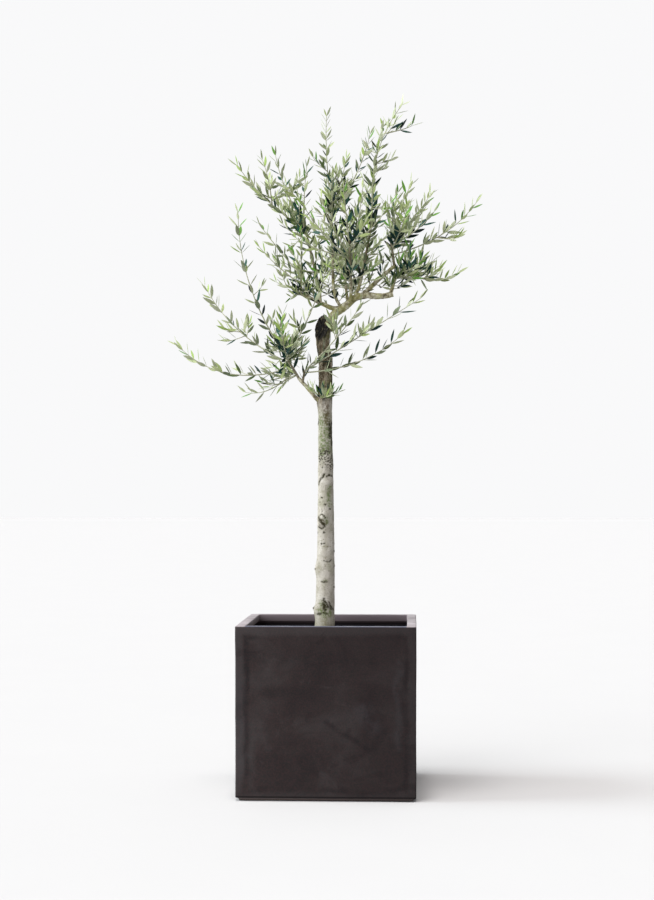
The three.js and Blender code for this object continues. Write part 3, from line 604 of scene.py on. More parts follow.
def planter_material():
    f = Finish("planter_clay", 0.5, 0.14)
    x, y, z = place_fields(f.tree, "Object")
    # The rim, and the lip inside it, take the rim's painted reflection colour.
    base = clay(f, x, y, z).coated(f.attribute("rim"), rim_reflection(f, x, y))
    # Painted shade: the recessed inner wall below the lip is painted nearly black.
    f.colour(base.coated(f.attribute("inside") * 0.97, (0.0015, 0.0025, 0.006)))
    worn = f.noise(24.0, 4.0).level(0.3, 0.7, 0.40, 0.56)
    feed(f.tree, worn - f.attribute("rim") * 0.1, f.sockets["Roughness"])
    f.bump(f.noise(260.0, 3.0) + f.noise(20.0, 3.0) * 2.5, 0.0004, 0.6)
    return f.material


def soil_material():
    f = Finish("soil_crumbs", 0.95, 0.2)
    f.colour(f.noise(60.0, 6.0).ramp((0.3, (0.018, 0.012, 0.008)), (0.7, (0.075, 0.05, 0.032))))
    f.bump(f.noise(240.0, 5.0), 0.002)
    return f.material


def chip_material():
    f = Finish("soil_chips", 0.9, 0.2)
    f.colour(f.noise(35.0, 3.0).ramp((0.35, (0.05, 0.028, 0.016)), (0.65, (0.16, 0.095, 0.055))))
    f.bump(f.noise(500.0, 3.0), 0.0006)
    return f.material


def pale_bark(f, z, broken):
    """Smooth grey bark with brown dashes, pale flecks and green patches, duller near the soil."""
    pale = f.noise(64.0, 5.0, (1, 1, 0.7)).ramp(
        (0.30, (0.37, 0.345, 0.27)), (0.50, (0.54, 0.505, 0.44)), (0.72, (0.67, 0.635, 0.58)))
    dashes = f.noise(165.0, 3.0, (1, 1, 2.8)).level(0.59, 0.66)
    pale = pale.coated(dashes * 0.75, (0.17, 0.15, 0.08))
    flecks = f.noise(300.0, 3.0).level(0.60, 0.68)
    pale = pale.coated(flecks * 0.5, (0.78, 0.76, 0.70))
    green = f.noise(24.0, 4.0).level(0.52, 0.72)
    pale = pale.coated(green * 0.35, (0.29, 0.30, 0.17))
    low = z.level(0.35, 0.43, 1.0, 0.0)
    pale = pale.coated(low * 0.62, (0.20, 0.19, 0.11))
    pale = pale.coated(f.attribute("moss") * (broken * 0.85), (0.125, 0.175, 0.045))
    scaly = f.noise(260.0, 3.0).level(0.46, 0.56)
    return pale.coated(f.attribute("lichen") * scaly, (0.075, 0.07, 0.05))


def brown_bark(f):
    """Furrowed brown bark with moss and pale scales."""
    brown = f.noise(110.0, 6.0, (1, 1, 0.42)).ramp(
        (0.38, (0.042, 0.033, 0.020)), (0.52, (0.190, 0.148, 0.098)), (0.68, (0.50, 0.44, 0.35)))
    moss = f.noise(34.0, 4.0).level(0.50, 0.64)
    brown = brown.coated(moss * 0.55, (0.125, 0.140, 0.050))
    scales = f.noise(190.0, 3.0, (1, 1, 0.6)).level(0.60, 0.68)
    return brown.coated(scales * 0.6, (0.48, 0.46, 0.38))


def trunk_material():
    """Pale bark below brown bark, with the strokes' tones over them and rot at the saw cut."""
    f = Finish("trunk_bark", 0.85, 0.2)
    z = place_fields(f.tree, "Object")[2]
    broken = f.noise(210.0, 4.0).level(0.40, 0.60, 0.25, 1.0)
    edge = z + f.noise(38.0, 4.0) * 0.06
    bark = pale_bark(f, z, broken).coated(edge.level(0.890, 0.930), brown_bark(f))
    bark = bark.coated(f.attribute("rust") * (broken * 0.8), (0.11, 0.075, 0.04))
    flaked = f.noise(330.0, 3.0).level(0.34, 0.54, 0.55, 1.0)
    bark = bark.coated(f.attribute("dark") * flaked, (0.034, 0.030, 0.012))
    rotten = f.noise(190.0, 5.0, (1, 1, 0.45)).ramp(
        (0.44, (0.006, 0.005, 0.005)), (0.60, (0.026, 0.022, 0.018)), (0.72, (0.15, 0.13, 0.085)))
    f.colour(bark.coated(f.attribute("rot"), rotten))
    f.bump(f.noise(320.0, 4.0, (1, 1, 0.5)), 0.0009, 0.8)
    return f.material


def bough_material():
    f = Finish("bough_bark", 0.82, 0.2)
    base = f.noise(120.0, 5.0).ramp(
        (0.36, (0.120, 0.100, 0.058)), (0.50, (0.420, 0.380, 0.260)), (0.66, (0.720, 0.690, 0.550)))
    ochre = f.noise(46.0, 4.0).level(0.47, 0.58)
    base = base.coated(ochre * 0.6, (0.340, 0.330, 0.100))
    stain = f.noise(240.0, 4.0).ramp(
        (0.42, (0.012, 0.009, 0.006)), (0.54, (0.075, 0.050, 0.026)), (0.66, (0.26, 0.18, 0.09)))
    f.colour(base.coated(f.attribute("rot"), stain))
    f.bump(f.noise(420.0, 4.0), 0.0007, 0.8)
    return f.material


def twig_material(name, dark, light):
    f = Finish(name, 0.7, 0.25)
    f.colour(f.noise(30.0, 3.0).ramp((0.35, dark), (0.65, light)))
    return f.material


def leaf_material(name, colour, roughness):
    """One plain leaf colour, with a faint unevenness from leaf to leaf."""
    f = Finish(name, roughness, 0.12)
    darker = tuple(0.80 * c for c in colour)
    lighter = tuple(min(1.0, 1.20 * c) for c in colour)
    f.colour(f.noise(16.0, 2.0).ramp((0.3, darker), (0.7, lighter)))
    return f.material


# Planter.

def rounded_square(half, z, corner, steps=5):
    centre = half - corner
    points = []
    for quarter in range(4):
        middle = (quarter + 0.5) * math.pi / 2
        cx, cy = math.copysign(centre, math.cos(middle)), math.copysign(centre, math.sin(middle))
        for i in range(steps + 1):
            angle = (quarter + i / steps) * math.pi / 2
            points.append((cx + corner * math.cos(angle), cy + corner * math.sin(angle), z))
    return points


def split_sides(ring, parts):
    """Adds points along each straight side, so the side can carry a slight unevenness."""
    out = []
    for i, point in enumerate(ring):
        after = ring[(i + 1) % len(ring)]
        out.append(point)
        if math.dist(point, after) > 0.05:
            out += [tuple(a + (b - a) * k / parts for a, b in zip(point, after)) for k in range(1, parts)]
    return out


def rim_edge(centre, quarter, reflections):
    """A rounded edge of the rim, a quarter turn in five steps from a first quarter on."""
    rows = []
    for i, reflection in enumerate(reflections):
        angle = (quarter + i / 4) * math.pi / 2
        rows.append((centre + RIM_ROUND * math.cos(angle),
                     PLANTER_HEIGHT - RIM_ROUND + RIM_ROUND * math.sin(angle), reflection))
    return rows


def planter_rows():
    """Half width, height and share of the rim's painted reflection of each ring: up the outside, over the
    rim, down to the soil.
    """
    foot = PLANTER_HALF - PLANTER_DRAFT
    inner = PLANTER_HALF - WALL
    body_foot = PLANTER_FOOT_CHAMFER + 0.001
    rows = [(foot - PLANTER_FOOT_CHAMFER, 0.0, 0), (foot - 0.0055, 0.0052, 0),
            (foot - 0.0005, PLANTER_FOOT_CHAMFER - 0.0005, 0), (foot, body_foot, 0)]
    climb = 26
    for i in range(1, climb):
        share = i / climb
        height = body_foot + (PLANTER_HEIGHT - RIM_ROUND - body_foot) * share
        rows.append((foot + PLANTER_DRAFT * share, height, 0))
    rows += rim_edge(PLANTER_HALF - RIM_ROUND, 0, (0, 0.25, 0.5, 0.75, 1))
    rows += rim_edge(MOUTH + RIM_ROUND, 1, (1, 1, 1, 1, 1))
    lip_foot = PLANTER_HEIGHT - RIM_DEPTH
    rows += [(MOUTH, PLANTER_HEIGHT - RIM_DEPTH * 0.6, 0.9), (MOUTH + 0.0005, lip_foot, 0.7),
             (inner, lip_foot - LIP_SLOPE, 0.2), (inner, lip_foot - 2 * LIP_SLOPE, 0),
             (inner, (PLANTER_HEIGHT + SOIL_TOP) / 2, 0), (inner, SOIL_TOP - 0.012, 0)]
    return rows


def planter():
    rows = planter_rows()
    rings = [split_sides(rounded_square(half, z, PLANTER_CORNER), 16) for half, z, _ in rows]
    count = len(rings[0])
    points = np.array(rings).reshape(-1, 3)
    for point in points:
        dent = 0.0004 + 0.0005 * rough(point, 9, 2) + 0.0002 * rough(point, 55, 2)
        point[:2] -= np.sign(point[:2]) * max(0.0, dent)
        if point[2] < PLANTER_FOOT_CHAMFER * 0.5:
            point[2] = max(0.0, 0.0016 * rough(point, 60, 2))
    last = (len(rings) - 1) * count
    faces = ring_faces(len(rings), count)
    faces += [tuple(reversed(range(count))), tuple(range(last, last + count))]
    piece = mesh_object("planter_cast", points, faces, [planter_material()])
    # How much of the rim's painted reflection each ring takes.
    add_attribute(piece, "rim", np.repeat([reflection for _, _, reflection in rows], count))
    # The inner wall below the lip is marked for painted shade.
    add_attribute(piece, "inside", np.repeat([0.0] * (len(rows) - 4) + [0.7, 1.0, 1.0, 1.0], count))
    piece.data.set_sharp_from_angle(angle=math.radians(38))
    return place(piece, "planter", "planter")


# Soil.

def soil():
    """Uneven soil, a little higher round the trunk, with a skirt down into the planter."""
    half = PLANTER_HALF - WALL - 0.0015
    side = 72
    grid = np.linspace(-half, half, side)
    points = []
    for y in grid:
        for x in grid:
            mound = 0.0024 * math.exp(-((x - TRUNK_FOOT_X) ** 2 + y * y) / 0.004)
            points.append((x, y, SOIL_TOP - 0.003 + mound + 0.0035 * rough((x, y, 0.01), 26)))
    faces = [(a, a + 1, a + 1 + side, a + side) for a in range(side * (side - 1)) if (a + 1) % side]
    skirt = list(range(side)) + [j * side + side - 1 for j in range(1, side)]
    skirt += [(side - 1) * side + i for i in range(side - 2, -1, -1)]
    skirt += [j * side for j in range(side - 2, 0, -1)]
    base = len(points)
    points += [(points[i][0], points[i][1], SOIL_TOP - 0.02) for i in skirt]
    for k in range(len(skirt)):
        after = (k + 1) % len(skirt)
        faces.append((skirt[k], base + k, base + after, skirt[after]))
    faces.append(tuple(range(base + len(skirt) - 1, base - 1, -1)))
    return place(mesh_object("soil_top", points, faces, [soil_material()]), "soil", "soil")


def soil_chips():
    """Loose crumbs and bark chips on the soil: little six-sided blocks, turned every way."""
    draw = seeded_random(71)
    points, faces = [], []
    corners = np.array([(x, y, z) for z in (-1, 1) for y in (-1, 1) for x in (-1, 1)], dtype=float)
    sides = [(0, 2, 3, 1), (4, 5, 7, 6), (0, 1, 5, 4), (2, 6, 7, 3), (1, 3, 7, 5), (0, 4, 6, 2)]
    reach = PLANTER_HALF - WALL - 0.014
    keep_off = (TRUNK_STOPS[0][3] + 6) * MM
    for _ in range(900):
        x, y = (2 * next(draw) - 1) * reach, (2 * next(draw) - 1) * reach
        size = 0.0016 + 0.0042 * next(draw) ** 2
        shape = corners * np.array([1.0, 0.45 + 0.4 * next(draw), 0.22 + 0.3 * next(draw)]) * size
        shape *= 0.8 + 0.4 * np.array([[next(draw)] for _ in corners])
        turn, tilt = next(draw) * 2 * math.pi, (next(draw) - 0.5) * 0.9
        leaning = [(math.cos(tilt), 0, math.sin(tilt)), (0, 1, 0), (-math.sin(tilt), 0, math.cos(tilt))]
        turned = [(math.cos(turn), math.sin(turn), 0), (-math.sin(turn), math.cos(turn), 0), (0, 0, 1)]
        if math.hypot(x - TRUNK_FOOT_X, y) < keep_off:
            continue
        start = len(points)
        shape = shape @ np.array(leaning) @ np.array(turned)
        points += list(shape + (x, y, SOIL_TOP - 0.001 + 0.2 * size))
        faces += [tuple(start + i for i in face) for face in sides]
    return place(mesh_object("soil_chips", points, faces, [chip_material()], smooth=False), "soil")


# Trunk.

def turn_between(angle, degrees):
    """Signed turn from a compass angle in degrees to an angle in radians."""
    return (angle - math.radians(degrees) + math.pi) % (2 * math.pi) - math.pi


def swell(z, angle, radius):
    """How far knots and buds push the bark out, all in millimetres but the angle."""
    total = np.zeros_like(z)
    for height, turned, half, out in KNOTS:
        facing = np.maximum(0, np.cos(angle - math.radians(turned)))
        total += out * np.exp(-((z - height) / half) ** 2) * facing ** 4
    for height, turned, half, out in BUDS:
        aside = turn_between(angle, turned) * radius
        total += out * np.exp(-((z - height) ** 2 + aside ** 2) / half ** 2)
    return total


def more_strokes():
    """Specks and short cracks all round, like the ones that face front, and moss away from it."""
    draw = seeded_random(53)
    dark = []
    for _ in range(MORE_SPECKS):
        z, angle = 340 + 540 * next(draw), 360 * next(draw)
        if 200 < angle < 345 and next(draw) < 0.7:
            continue
        dark.append((1.2 + next(draw), [(z, angle), (z + 2, angle + 26 * next(draw))]))
    moss = [(11, [(z, angle), (z - 36, angle + 14)]) for z, angle in MORE_MOSS]
    return {"dark": dark, "moss": moss}


def stroke_field(strokes, z, angle, radius):
    """How strongly the strokes of one tone mark each point of the bark, from 0 to 1."""
    field = np.zeros_like(z)
    for width, line in strokes:
        for (z0, a0), (z1, a1) in zip(line, line[1:] + line[-1:]):
            aside = turn_between(angle, a0) * radius
            ahead = math.radians(a1 - a0) * radius
            rise = z1 - z0
            along = np.clip((aside * ahead + (z - z0) * rise) / (ahead ** 2 + rise ** 2 + 1e-9), 0, 1)
            off = np.hypot(aside - along * ahead, z - z0 - along * rise)
            field = np.maximum(field, np.minimum(1, STROKE_DEPTH * np.exp(-(off / width) ** 2)))
    return field


def wobble(skin):
    """Small irregular shifts up, in millimetres, and round, in radians, that make a mark's edges uneven."""
    flat = skin.reshape(-1, 3)
    up = [2.2 * rough(p, 150, 3) for p in flat]
    aside = [0.07 * rough((p[0], p[1], p[2] + 3), 150, 3) for p in flat]
    return np.reshape(up, skin.shape[:2]), np.reshape(aside, skin.shape[:2])


def trunk_grid():
    """Height, angle, centre and radius of every point of the skin, each column ending at the saw cut."""
    line = smooth_line(TRUNK_LINE, 240)
    facing = unit(CUT_FACING)
    angles = np.linspace(0, 2 * math.pi, TRUNK_SIDES, endpoint=False)
    middle = points_at(line, line[:, 2], CUT_CENTRE[2])
    reach = np.interp(CUT_CENTRE[2], TRUNK_Z, TRUNK_RADII)
    ahead = facing[0] * (middle[0] + reach * np.cos(angles) - CUT_CENTRE[0])
    ahead += facing[1] * (middle[1] + reach * np.sin(angles) - CUT_CENTRE[1])
    tops = CUT_CENTRE[2] - ahead / facing[2]
    tops += [RAGGED * rough((math.cos(turn), math.sin(turn), 0.3), (3.2, 3.2, 1)) for turn in angles]
    tops = np.minimum(TRUNK_Z[-1], tops)
    share = np.linspace(0, 1, TRUNK_CLIMB + 1)[:, None]
    z = TRUNK_Z[0] + (tops[None, :] - TRUNK_Z[0]) * share
    angle = np.broadcast_to(angles, z.shape)
    return z, angle, points_at(line, line[:, 2], z), np.interp(z, TRUNK_Z, TRUNK_RADII), tops


def bark_relief(z, angle, skin, tops):
    """How far the bark stands out, in metres: nearly smooth low down, furrowed from the brown bark up."""
    relief = np.zeros_like(z)
    for spot in np.ndindex(z.shape):
        p = skin[spot]
        relief[spot] = 0.00045 * rough(p, (60, 60, 40)) + 0.0002 * rough(p, (240, 240, 160), 2)
        furrowed = min(1.0, (p[2] - FURROWED_FROM) / 0.03)
        if furrowed > 0:
            relief[spot] += furrowed * (0.2 - abs(rough(p, (130, 130, 26)))) * FURROW_DEPTH
    flutes = 0.0022 * np.cos(5 * angle + 0.6) * np.exp(-(z - z[0, 0]) / 0.03)
    lip = np.where(z > 1.0, 0.0022 * np.exp(-((tops[None, :] - z) / 0.006) ** 2), 0)
    return relief + flutes + lip


def cut_rings(rim):
    """The sawn face: rings from the rim to the middle, sunk and fretted by rot."""
    facing = unit(CUT_FACING)
    middle = rim.mean(axis=0)
    points = []
    for k in range(1, CUT_RINGS):
        share = 1 - k / CUT_RINGS
        for point in rim:
            p = middle + (point - middle) * share
            fret = abs(rough(p, (260, 260, 90), 3)) * FRET_DEPTH
            points.append(p - facing * (PIT_DEPTH * (1 - share ** 3) + fret * min(1.0, k / 3)))
    return points + [middle - facing * PIT_DEPTH]


def trunk():
    """The trunk's skin: each column of points runs from the soil up to the saw cut, then across it."""
    z, angle, centre, radius, tops = trunk_grid()
    out = np.stack([np.cos(angle), np.sin(angle), np.zeros_like(angle)], axis=-1)
    reach = radius + swell(z / MM, angle, radius / MM) * MM
    skin = centre + out * reach[..., None]
    up, aside = wobble(skin)
    more = more_strokes()
    tones = {tone: stroke_field(strokes + more.get(tone, []), z / MM + up, angle + aside, radius / MM)
             for tone, strokes in STROKES.items()}
    relief = bark_relief(z, angle, skin, tops)
    relief += (0.0008 * tones["lichen"] - 0.0007 * tones["dark"]) * (z < 0.9)
    skin = skin + out * relief[..., None]
    cap = cut_rings(skin[-1])
    points = np.vstack([skin.reshape(-1, 3), cap])
    rings = TRUNK_CLIMB + CUT_RINGS
    faces = ring_faces(rings, TRUNK_SIDES)
    faces += fan_faces((rings - 1) * TRUNK_SIDES, TRUNK_SIDES, len(points) - 1)
    faces.append(tuple(reversed(range(TRUNK_SIDES))))
    piece = mesh_object("trunk_bark", points, faces, [trunk_material()])
    for tone, field in tones.items():
        add_attribute(piece, tone, np.concatenate([field.ravel(), np.zeros(len(cap))]))
    charred = (z > 1.0) * np.exp(-np.maximum(0, tops[None, :] - z + 0.5 * MM * up) / CHARRED)
    add_attribute(piece, "rot", np.concatenate([np.minimum(1, charred).ravel(), np.ones(len(cap))]))
    return place(piece, "bark", "trunk")


# Boughs.

def bough(name, material):
    """A lumpy tapering tube with a collar at its foot and a sawn end."""
    radius, stops = BOUGHS[name]
    sides, rings = BOUGH_SIDES, BOUGH_RINGS
    line = smooth_line(stops, rings)
    way = way_along(line)
    radii = np.interp(way, (0, way[-1]), radius) * MM
    collar = 0.14 * np.exp(-((way - radii[0] * 1.2) / 0.008) ** 2)
    radii = radii * (1 + collar)
    points = tube_points(line, radii, sides).reshape(rings, sides, 3)
    for i, k in np.ndindex(rings, sides):
        out = unit(points[i, k] - line[i])
        points[i, k] += out * radii[i] * BOUGH_LUMPS * rough(points[i, k], 90)
    skin = points.reshape(-1, 3)
    end = len(skin)
    sawn = line[-1] + (skin[-sides:] - line[-1]) * SAWN_SHARE
    skin = np.vstack([skin, sawn, line[-1:], line[:1]])
    faces = ring_faces(rings + 1, sides) + fan_faces(end, sides, end + sides)
    faces += [(turn, k, middle) for k, turn, middle in fan_faces(0, sides, end + sides + 1)]
    piece = mesh_object(name + "_bark", skin, faces, [material])
    stain = FORK_STAIN if name == "bough_fork" else 0.0
    stained = np.clip((stain - way) / STAIN_FADE, 0, 1)
    add_attribute(piece, "rot", list(np.repeat(stained, sides)) + [1.0] * (sides + 1) + [0.0])
    return place(piece, "bark", name)


def boughs():
    material = bough_material()
    for name in BOUGHS:
        bough(name, material)


# Growth of the crown, by the same rule as the solids. Lengths come in millimetres and go out in metres.

def metres(point):
    return np.array(point, dtype=float) * MM


def shoot_of(start, tip, bow, radii, kind, leaf_reach=TIP_REACH):
    """A curve from a point in metres, drawn down and outward by its bow, short of its tip by a leaf."""
    chord = unit(tip - start)
    outward = np.array([0.0, 0.0, -1.0]) + chord * chord[2]
    control = (start + tip) / 2 + unit(outward) * bow * MM
    reach = min(leaf_reach * MM, TIP_SHARE * np.linalg.norm(tip - start))
    end = tip - unit(tip - control) * reach
    t = np.linspace(0, 1, 33)[:, None]
    line = (1 - t) ** 2 * start + 2 * t * (1 - t) * control + t ** 2 * end
    way = way_along(line)
    return {"line": line, "way": way, "length": way[-1], "radii": metres(radii), "kind": kind, "age": 0.0}


def along_shoot(shoot, share):
    """Point and direction at a share of the shoot's length."""
    at = share * shoot["length"]
    step = min(np.searchsorted(shoot["way"], at, side="right"), len(shoot["way"]) - 1)
    return points_at(shoot["line"], shoot["way"], at), unit(shoot["line"][step] - shoot["line"][step - 1])


def fan_tips(mass, draw):
    fan = mass["fan"]
    tips = []
    for i in range(fan["count"]):
        turn = math.radians(fan["facing"] + fan["spread"] * (2 * ((i * FAN_STEP) % 1) - 1))
        rise = math.radians(lerp(fan["rise"], (i + 0.5) / fan["count"]))
        way = (math.cos(rise) * math.cos(turn), math.cos(rise) * math.sin(turn), math.sin(rise))
        tips.append(metres(mass["stem"]) + lerp(fan["length"], next(draw)) * MM * np.array(way))
    return tips


def limb_line(name):
    return smooth_line(TRUNK_LINE if name == "trunk" else BOUGHS[name][1], 200)


def grow_shoots(mass):
    draw = seeded_random(mass["seed"])
    limb = limb_line(mass["on"])
    root = limb[int(mass.get("from", STEM_ROOT) * (len(limb) - 1))]
    stem = shoot_of(root, metres(mass["stem"]), 0.0, STEM_RADIUS, "stem", 0.0)
    shoots = []
    for tip, at, bow, *more in mass["shoots"]:
        extra = more[0] if more else {}
        carrier = shoots[extra["off"]] if "off" in extra else stem
        start, _ = along_shoot(carrier, at)
        shoot = shoot_of(start, metres(tip), bow, SHOOT_RADIUS, "long")
        shoot["age"] = extra.get("age", 0.0)
        shoots.append(shoot)
    if "fan" in mass:
        for tip in fan_tips(mass, draw):
            start, _ = along_shoot(stem, lerp(FAN_ROOT, next(draw)))
            shoots.append(shoot_of(start, tip, FAN_BOW, SHOOT_RADIUS, "long"))
    carriers = [stem] + shoots
    return {"mass": mass, "draw": draw, "carriers": carriers, "shoots": list(carriers)}


def bough_carrier(mass):
    """The bough under a mass as a carrier of side shoots."""
    line = limb_line(mass["on"])
    way = way_along(line)
    return {"line": line, "way": way, "length": way[-1]}


def side_shoot(grown, carriers, span, size=1):
    draw = grown["draw"]
    carrier = carriers[int(next(draw) * len(carriers))]
    at = lerp(span, next(draw))
    start, along = along_shoot(carrier, at)
    sideways = np.array([next(draw) - 0.5, next(draw) - 0.5, next(draw) - 0.3])
    sideways = unit(sideways - along * np.dot(sideways, along))
    heading = unit(along * SIDE_AHEAD + sideways * SIDE_ASIDE)
    length = lerp(SIDE_LENGTH, next(draw)) * grown["mass"].get("size", 1) * size
    shoot = shoot_of(start, start + heading * length * MM, SIDE_BOW, SIDE_RADIUS, "side")
    shoot["age"] = at * SIDE_AGE
    return shoot


class Limbs:
    """Every limb as balls along its line, for keeping twigs and leaves out of it."""

    def __init__(self):
        trunk_line = smooth_line(TRUNK_LINE, 160)
        places = [trunk_line]
        radii = [np.interp(trunk_line[:, 2], TRUNK_Z, TRUNK_RADII)]
        for radius, line in BOUGHS.values():
            places.append(smooth_line(line, 40))
            radii.append(np.linspace(*radius, 40) * MM)
        self.places = np.vstack(places)
        self.radii = np.concatenate(radii)

    def clear_of(self, points):
        gaps = np.linalg.norm(points[:, None, :] - self.places[None], axis=2) - self.radii[None]
        return gaps.min() > LIMB_CLEARANCE * MM


class Spaces:
    """Each mass's own space is whatever lies nearer to its own long shoots than to any other mass's."""

    def __init__(self, crown):
        lines = [(i, shoot["line"][::4]) for i, grown in enumerate(crown) for shoot in grown["shoots"]]
        self.owners = np.concatenate([np.full(len(line), i) for i, line in lines])
        self.points = np.vstack([line for _, line in lines])

    def owner_of(self, point):
        return self.owners[np.linalg.norm(self.points - point, axis=1).argmin()]


def grow_side_shoots(index, grown, limbs, spaces):
    """Adds side shoots that end in the mass's own space, above its lowest tip and clear of the limbs.

    A few more leave the upper part of the bough below the mass.
    """
    mass = grown["mass"]
    lowest = min(shoot["line"][-1][2] for shoot in grown["carriers"][1:])
    for _ in range(mass["side"] * FINER):
        shoot = side_shoot(grown, grown["carriers"], SIDE_AT)
        end = shoot["line"][-1]
        if end[2] > lowest and spaces.owner_of(end) == index and limbs.clear_of(shoot["line"][6:]):
            grown["shoots"].append(shoot)
    for _ in range(mass.get("on_bough", 0)):
        shoot = side_shoot(grown, [bough_carrier(mass)], BOUGH_SHOOT_AT, BOUGH_SHOOT_SIZE)
        shoot["age"] = BOUGH_SHOOT_AGE
        if limbs.clear_of(shoot["line"][BOUGH_SHOOT_ROOT:]):
            grown["shoots"].append(shoot)


def leaf_frame(along, sideways, hand, angle, draw):
    """Heading, width direction and upper face of one leaf of a pair."""
    heading = along * math.cos(angle) + sideways * hand * math.sin(angle)
    heading = unit(heading + np.array([0, 0, LEAF_LIFT * (1 - along[2] ** 2) * (0.6 + 0.8 * next(draw))]))
    face = along - heading * np.dot(along, heading)
    face = unit(face) if np.linalg.norm(face) > 1e-3 else unit(np.cross(heading, sideways))
    twist = (next(draw) - 0.5) * LEAF_TWIST
    face = face * math.cos(twist) + np.cross(face, heading) * math.sin(twist)
    return heading, np.cross(face, heading), face


def leaf_age(shoot, share):
    """From 0 for the oldest leaves, on the stems and deep in the crown, to 1 at a long shoot's tip."""
    return shoot["age"] + share * (1 - shoot["age"] * 0.5) * VIGOUR[shoot["kind"]]


def grow_leaves(grown, shoot, limbs):
    """Opposite pairs from the shoot's tip back to its base, each pair a quarter turn on from the last."""
    draw, mass = grown["draw"], grown["mass"]
    step = {"stem": STEM_PAIR_STEP, "long": mass["step"], "side": SIDE_PAIR_STEP}[shoot["kind"]] * MM
    longest = mass["leaf"] * MM
    pairs = max(2, int((shoot["length"] - BARE_BASE * MM) / step) + 1)
    roll = next(draw) * math.pi
    spray_tint = next(draw)
    leaves = []
    for i in range(pairs):
        share = max(0.04, 1 - (0.001 + i * step * (0.9 + 0.2 * next(draw))) / shoot["length"])
        node, along = along_shoot(shoot, share)
        level_way = unit(np.cross(along, (1.0, 0, 0) if abs(along[2]) > 0.9 else (0, 0, 1.0)))
        sideways = level_way * math.cos(roll) + np.cross(along, level_way) * math.sin(roll)
        grown_up = min(1.0, i / 3.0)
        for hand in (1, -1):
            angle = math.radians(lerp(LEAF_ANGLES, grown_up) + LEAF_ANGLE_SPREAD * (next(draw) - 0.5))
            heading, across, face = leaf_frame(along, sideways, hand, angle, draw)
            length = longest * lerp((0.84, 1.0), grown_up) * lerp(LEAF_LENGTHS, next(draw))
            slim = LEAF_SLIM * lerp((0.72, 1.0), grown_up) * lerp((0.85, 1.2), next(draw))
            leaf = {"root": node, "heading": heading, "across": across, "face": face, "length": length,
                    "width": length * slim, "curl": (next(draw) - 0.4) * 0.2, "tint": spray_tint,
                    "tone": next(draw), "age": leaf_age(shoot, share) + mass.get("age", 0)}
            body = node + heading * np.linspace(0.2, 1.0, 5)[:, None] * length
            if limbs.clear_of(body):
                leaves.append(leaf)
        roll += math.pi / 2 + 0.5 * (next(draw) - 0.5)
    return leaves


# Leaves and twigs as joined meshes.

LEAF_STATIONS = (0.0, 0.09, 0.28, 0.52, 0.78)
LEAF_HALF_WIDTHS = (0.10, 0.20, 0.84, 1.0, 0.62)
LEAF_KEEL = 0.16
SAME_TINT = 0.6


def leaf_points(leaf):
    """At each station two edges, the midrib and the underside, then the tip."""
    points = []
    for s, w in zip(LEAF_STATIONS, LEAF_HALF_WIDTHS):
        half = leaf["width"] / 2 * w
        spine = leaf["root"] + leaf["heading"] * (leaf["length"] * s)
        spine = spine - leaf["face"] * (leaf["curl"] * leaf["length"] * s * s)
        aside = leaf["across"] * half
        drop = leaf["face"] * (half * LEAF_KEEL)
        thick = leaf["face"] * (LEAF_THICK * MM * min(1.0, w + 0.3))
        points += [spine + aside - drop, spine, spine - aside - drop, spine - drop - thick]
    end = leaf["root"] + leaf["heading"] * leaf["length"]
    return points + [end - leaf["face"] * (leaf["curl"] * leaf["length"])]


def leaf_faces():
    """Faces of one leaf, and which of them are on its underside."""
    stations = len(LEAF_STATIONS)
    faces = ring_faces(stations, 4)
    faces = [(low, low_up, turn_up, turn) for low, turn, turn_up, low_up in faces]
    last = 4 * (stations - 1)
    faces += [(k, last + 4, turn) for k, turn, _ in fan_faces(last, 4, last + 4)]
    under = [False, False, True, True] * stations
    return faces + [(0, 1, 2, 3)], under + [True]


def leaf_piece(name, leaves, tops, unders):
    """One joined mesh of leaves. Most leaves of a spray share an upper colour, and a few go their own way."""
    one_faces, one_under = leaf_faces()
    count = 4 * len(LEAF_STATIONS) + 1
    points, faces, slots = [], [], []
    for n, leaf in enumerate(leaves):
        points += leaf_points(leaf)
        lean = leaf["tint"] if leaf["tone"] < SAME_TINT else (leaf["tone"] - SAME_TINT) / (1 - SAME_TINT)
        top = min(len(tops) - 1, int(len(tops) * lean))
        under = len(tops) + min(len(unders) - 1, int(len(unders) * leaf["tone"]))
        faces += [tuple(n * count + i for i in face) for face in one_faces]
        slots += [under if below else top for below in one_under]
    piece = mesh_object(name, points, faces, tops + unders, slots)
    sharpen_edges(piece, np.tile([0, 1, 0, 2] * len(LEAF_STATIONS) + [0], len(leaves)))
    return piece


def sharpen_edges(piece, kind):
    """Marks the edges between points of kind 0, the leaves' outlines, as sharp."""
    ends = np.zeros(len(piece.data.edges) * 2, dtype=np.int32)
    piece.data.edges.foreach_get("vertices", ends)
    ends = ends.reshape(-1, 2)
    sharp = piece.data.attributes.new("sharp_edge", "BOOLEAN", "EDGE")
    sharp.data.foreach_set("value", (kind[ends[:, 0]] == 0) & (kind[ends[:, 1]] == 0))


def twig_piece(name, shoots, material, sides, steps):
    points, faces = [], []
    start = 0
    for shoot in shoots:
        line = points_at(shoot["line"], shoot["way"], np.linspace(0, shoot["length"], steps + 1))
        rings = tube_points(line, np.linspace(*shoot["radii"], steps + 1), sides)
        points += [rings, line[-1:] + (line[-1] - line[-2]) * 0.15]
        tip = start + len(rings)
        faces += ring_faces(steps + 1, sides, start) + fan_faces(tip - sides, sides, tip)
        faces.append(tuple(start + k for k in reversed(range(sides))))
        start = tip + 1
    return mesh_object(name, np.vstack(points), faces, [material])


